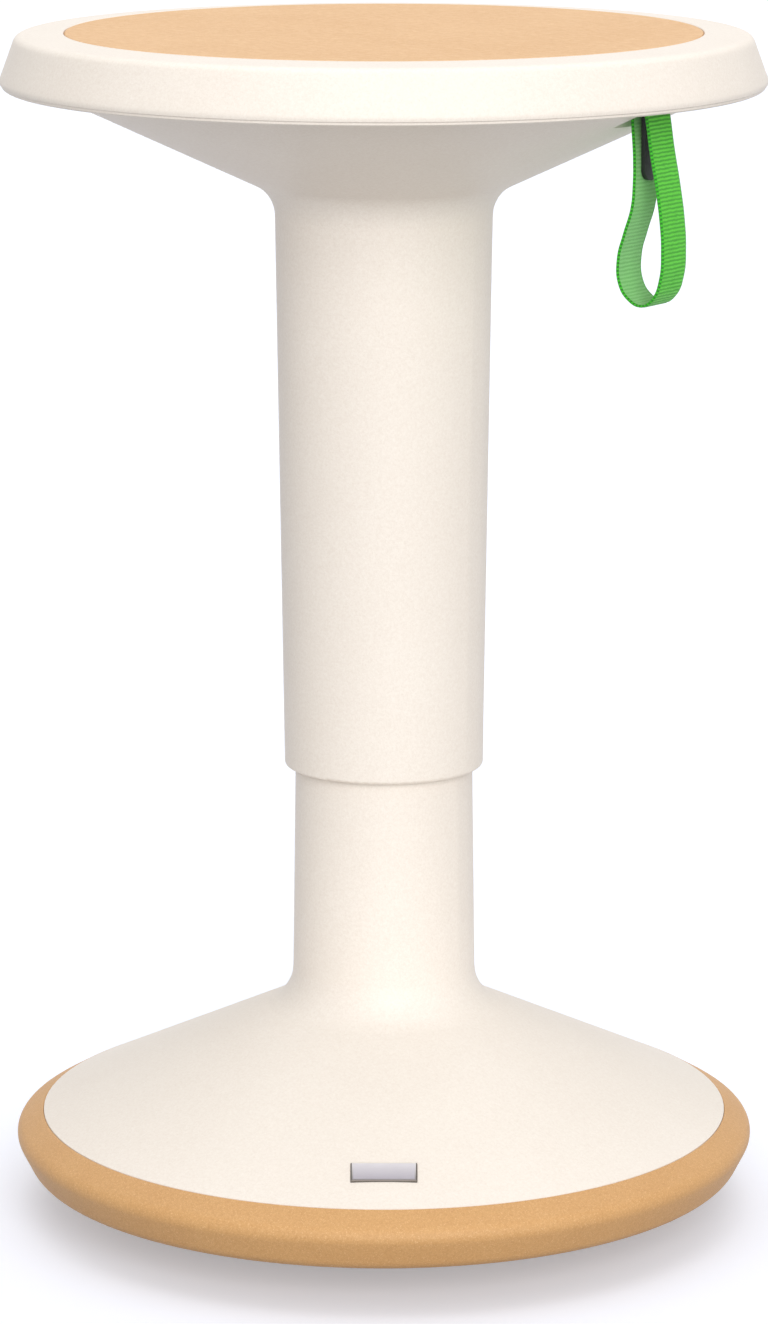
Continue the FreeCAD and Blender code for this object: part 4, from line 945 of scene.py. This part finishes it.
line = store(line, "along", length_so_far)
section = weaving.node("GeometryNodeCurvePrimitiveQuadrilateral", {"mode": "RECTANGLE"},
                       {"Width": weaving.given("Width"), "Height": weaving.given("Thickness")})
corner_round = weaving.given("Thickness") * SECTION_ROUND
section = weaving.node("GeometryNodeFilletCurve", {"mode": "POLY"},
                       {"Curve": section, "Radius": corner_round, "Count": 3})
section = weaving.node("GeometryNodeResampleCurve", {}, {"Curve": section, "Count": SECTION_POINTS})
spot = weaving.node("ShaderNodeSeparateXYZ", {},
                    {"Vector": weaving.node("GeometryNodeInputPosition")})
section = store(section, "across", spot.out("X"))
section = store(section, "facing", spot.out("Y") / weaving.given("Thickness"))
cloth = weaving.node("GeometryNodeCurveToMesh", {}, {"Curve": line, "Profile Curve": section})
print("plain webbing ready")

# %% Its ribs
RIBS_FADE = (1.4 * MM, 0.9 * MM)
INNER_LOSS = 0.6


def stored(name):
    """A number that the webbing's mesh carries."""
    return weaving.node("GeometryNodeInputNamedAttribute", {"data_type": "FLOAT"}, {"Name": name})


turns = stored("along") / weaving.given("Rib Pitch")
weft = wave(turns, 1)
inner_share = 1 - stored("facing").clear_of(-0.1, 0.1) * INNER_LOSS
fade_start, fade_end = (EDGE - distance for distance in RIBS_FADE)
middle = 1 - stored("across").size().clear_of(fade_start, fade_end)
lift = weft * middle * inner_share * weaving.given("Rib Height") - weaving.given("Rib Height")
normal = weaving.node("GeometryNodeInputNormal")
offset = weaving.node("ShaderNodeVectorMath", {"operation": "SCALE"},
                      {"Vector": normal, "Scale": lift})
ribbed = weaving.node("GeometryNodeSetPosition", {}, {"Geometry": cloth, "Offset": offset})
ribbed = weaving.node("GeometryNodeSetShadeSmooth", {}, {"Geometry": ribbed, "Shade Smooth": True})
weaving.close(ribbed)
print("webbing recipe ready")

# %% Weave the strap
RIB_HEIGHT = 0.22 * MM
STRAP_STEPS = 960
strap = weaving.bake("webbing_loop", route_curve,
                     {"Width": STRAP_WIDTH, "Thickness": STRAP_THICKNESS, "Rib Pitch": RIB_PITCH,
                      "Rib Height": RIB_HEIGHT, "Steps": STRAP_STEPS, "Finish": webbing_material})
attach(strap, "strap")
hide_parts("pull_strap")
heights = [vertex.co.z for vertex in strap.data.vertices]
print("strap hangs from %.4f to %.4f" % (max(heights), min(heights)))

# %% [markdown]
# ## Floor and light
# A pale floor carries a soft shadow. To the camera, to glossy rays and to transmitted rays it
# glows a little, so it reads as white paper, while to the object it stays a plain surface that
# bounces light. A broad, low lamp stands a little to the right of the camera, and a weaker one is
# almost overhead, slightly behind the stool. An even sky fills the rest.

# %% Rays that look straight at something


def seen_directly(tree):
    """1 for camera, glossy and transmitted rays, and 0 for light that bounces."""
    rays = tree.node("ShaderNodeLightPath")
    seen = rays.math("MAXIMUM", rays.out("Is Camera Ray"), rays.out("Is Glossy Ray"))
    return rays.math("MAXIMUM", seen, rays.out("Is Transmission Ray"))


print("ray helper ready")

# %% Floor
FLOOR_SIZE = 40.0
BOUNCE_COLOUR = (0.38, 0.38, 0.385, 1)
PAPER_COLOUR = (0.77, 0.80, 0.88, 1)
GLOW_COLOUR = (0.97, 0.965, 1, 1)
GLOW_LEVEL = 0.32
floor_mesh = bpy.data.meshes.new("floor")
half = FLOOR_SIZE / 2
floor_mesh.from_pydata([(-half, -half, 0), (half, -half, 0), (half, half, 0), (-half, half, 0)], [],
                       [(0, 1, 2, 3)])
floor = bpy.data.objects.new("floor", floor_mesh)
bpy.context.scene.collection.objects.link(floor)
paper = Finish("floor_paper", Roughness=0.9)
paper.shader.inputs["Specular IOR Level"].default_value = 0.0
paper.shader.inputs["Base Color"].default_value = BOUNCE_COLOUR
shadow_paper = paper.node("ShaderNodeBsdfDiffuse", {}, {"Color": PAPER_COLOUR})
glow = paper.node("ShaderNodeEmission", {}, {"Color": GLOW_COLOUR, "Strength": GLOW_LEVEL})
lit_paper = paper.node("ShaderNodeAddShader", {}, {0: shadow_paper, 1: glow})
plain_paper = Wire(paper, paper.shader.outputs[0])
shown_paper = paper.node("ShaderNodeMixShader", {},
                         {0: seen_directly(paper), 1: plain_paper, 2: lit_paper})
output = paper.tree.nodes["Material Output"]
paper.join(output.inputs["Surface"], shown_paper)
floor_mesh.materials.append(paper.material)
print("floor of %.0f m" % FLOOR_SIZE)

# %% Sky
SKY_LEVEL = 0.52
world = bpy.data.worlds.new("studio")
bpy.context.scene.world = world
world.use_nodes = True
sky = Tree(world.node_tree)
background = world.node_tree.nodes["Background"]
background.inputs["Color"].default_value = (1, 1, 1, 1)
sky.join(background.inputs["Strength"], seen_directly(sky) * (1 - SKY_LEVEL) + SKY_LEVEL)
print("sky at", SKY_LEVEL)

# %% Lamps
LAMPS = {
    "key": {"level": 1.98, "spread": 46, "azimuth": 9, "height": 17},
    "top": {"level": 0.97, "spread": 56, "azimuth": 180, "height": 80},
}


def soft_lamp(name, level, spread, azimuth, height):
    """A broad, distant lamp, by degrees to the right of the camera and over the floor."""
    data = bpy.data.lights.new(name, "SUN")
    data.energy = level
    data.angle = math.radians(spread)
    lamp = bpy.data.objects.new(name, data)
    bpy.context.scene.collection.objects.link(lamp)
    turn = camera.rotation_euler.z + math.radians(azimuth)
    lamp.rotation_euler = (math.radians(90 - height), 0, turn)


for lamp_name, facts in LAMPS.items():
    soft_lamp(lamp_name, **facts)
print("lamps:", list(LAMPS))
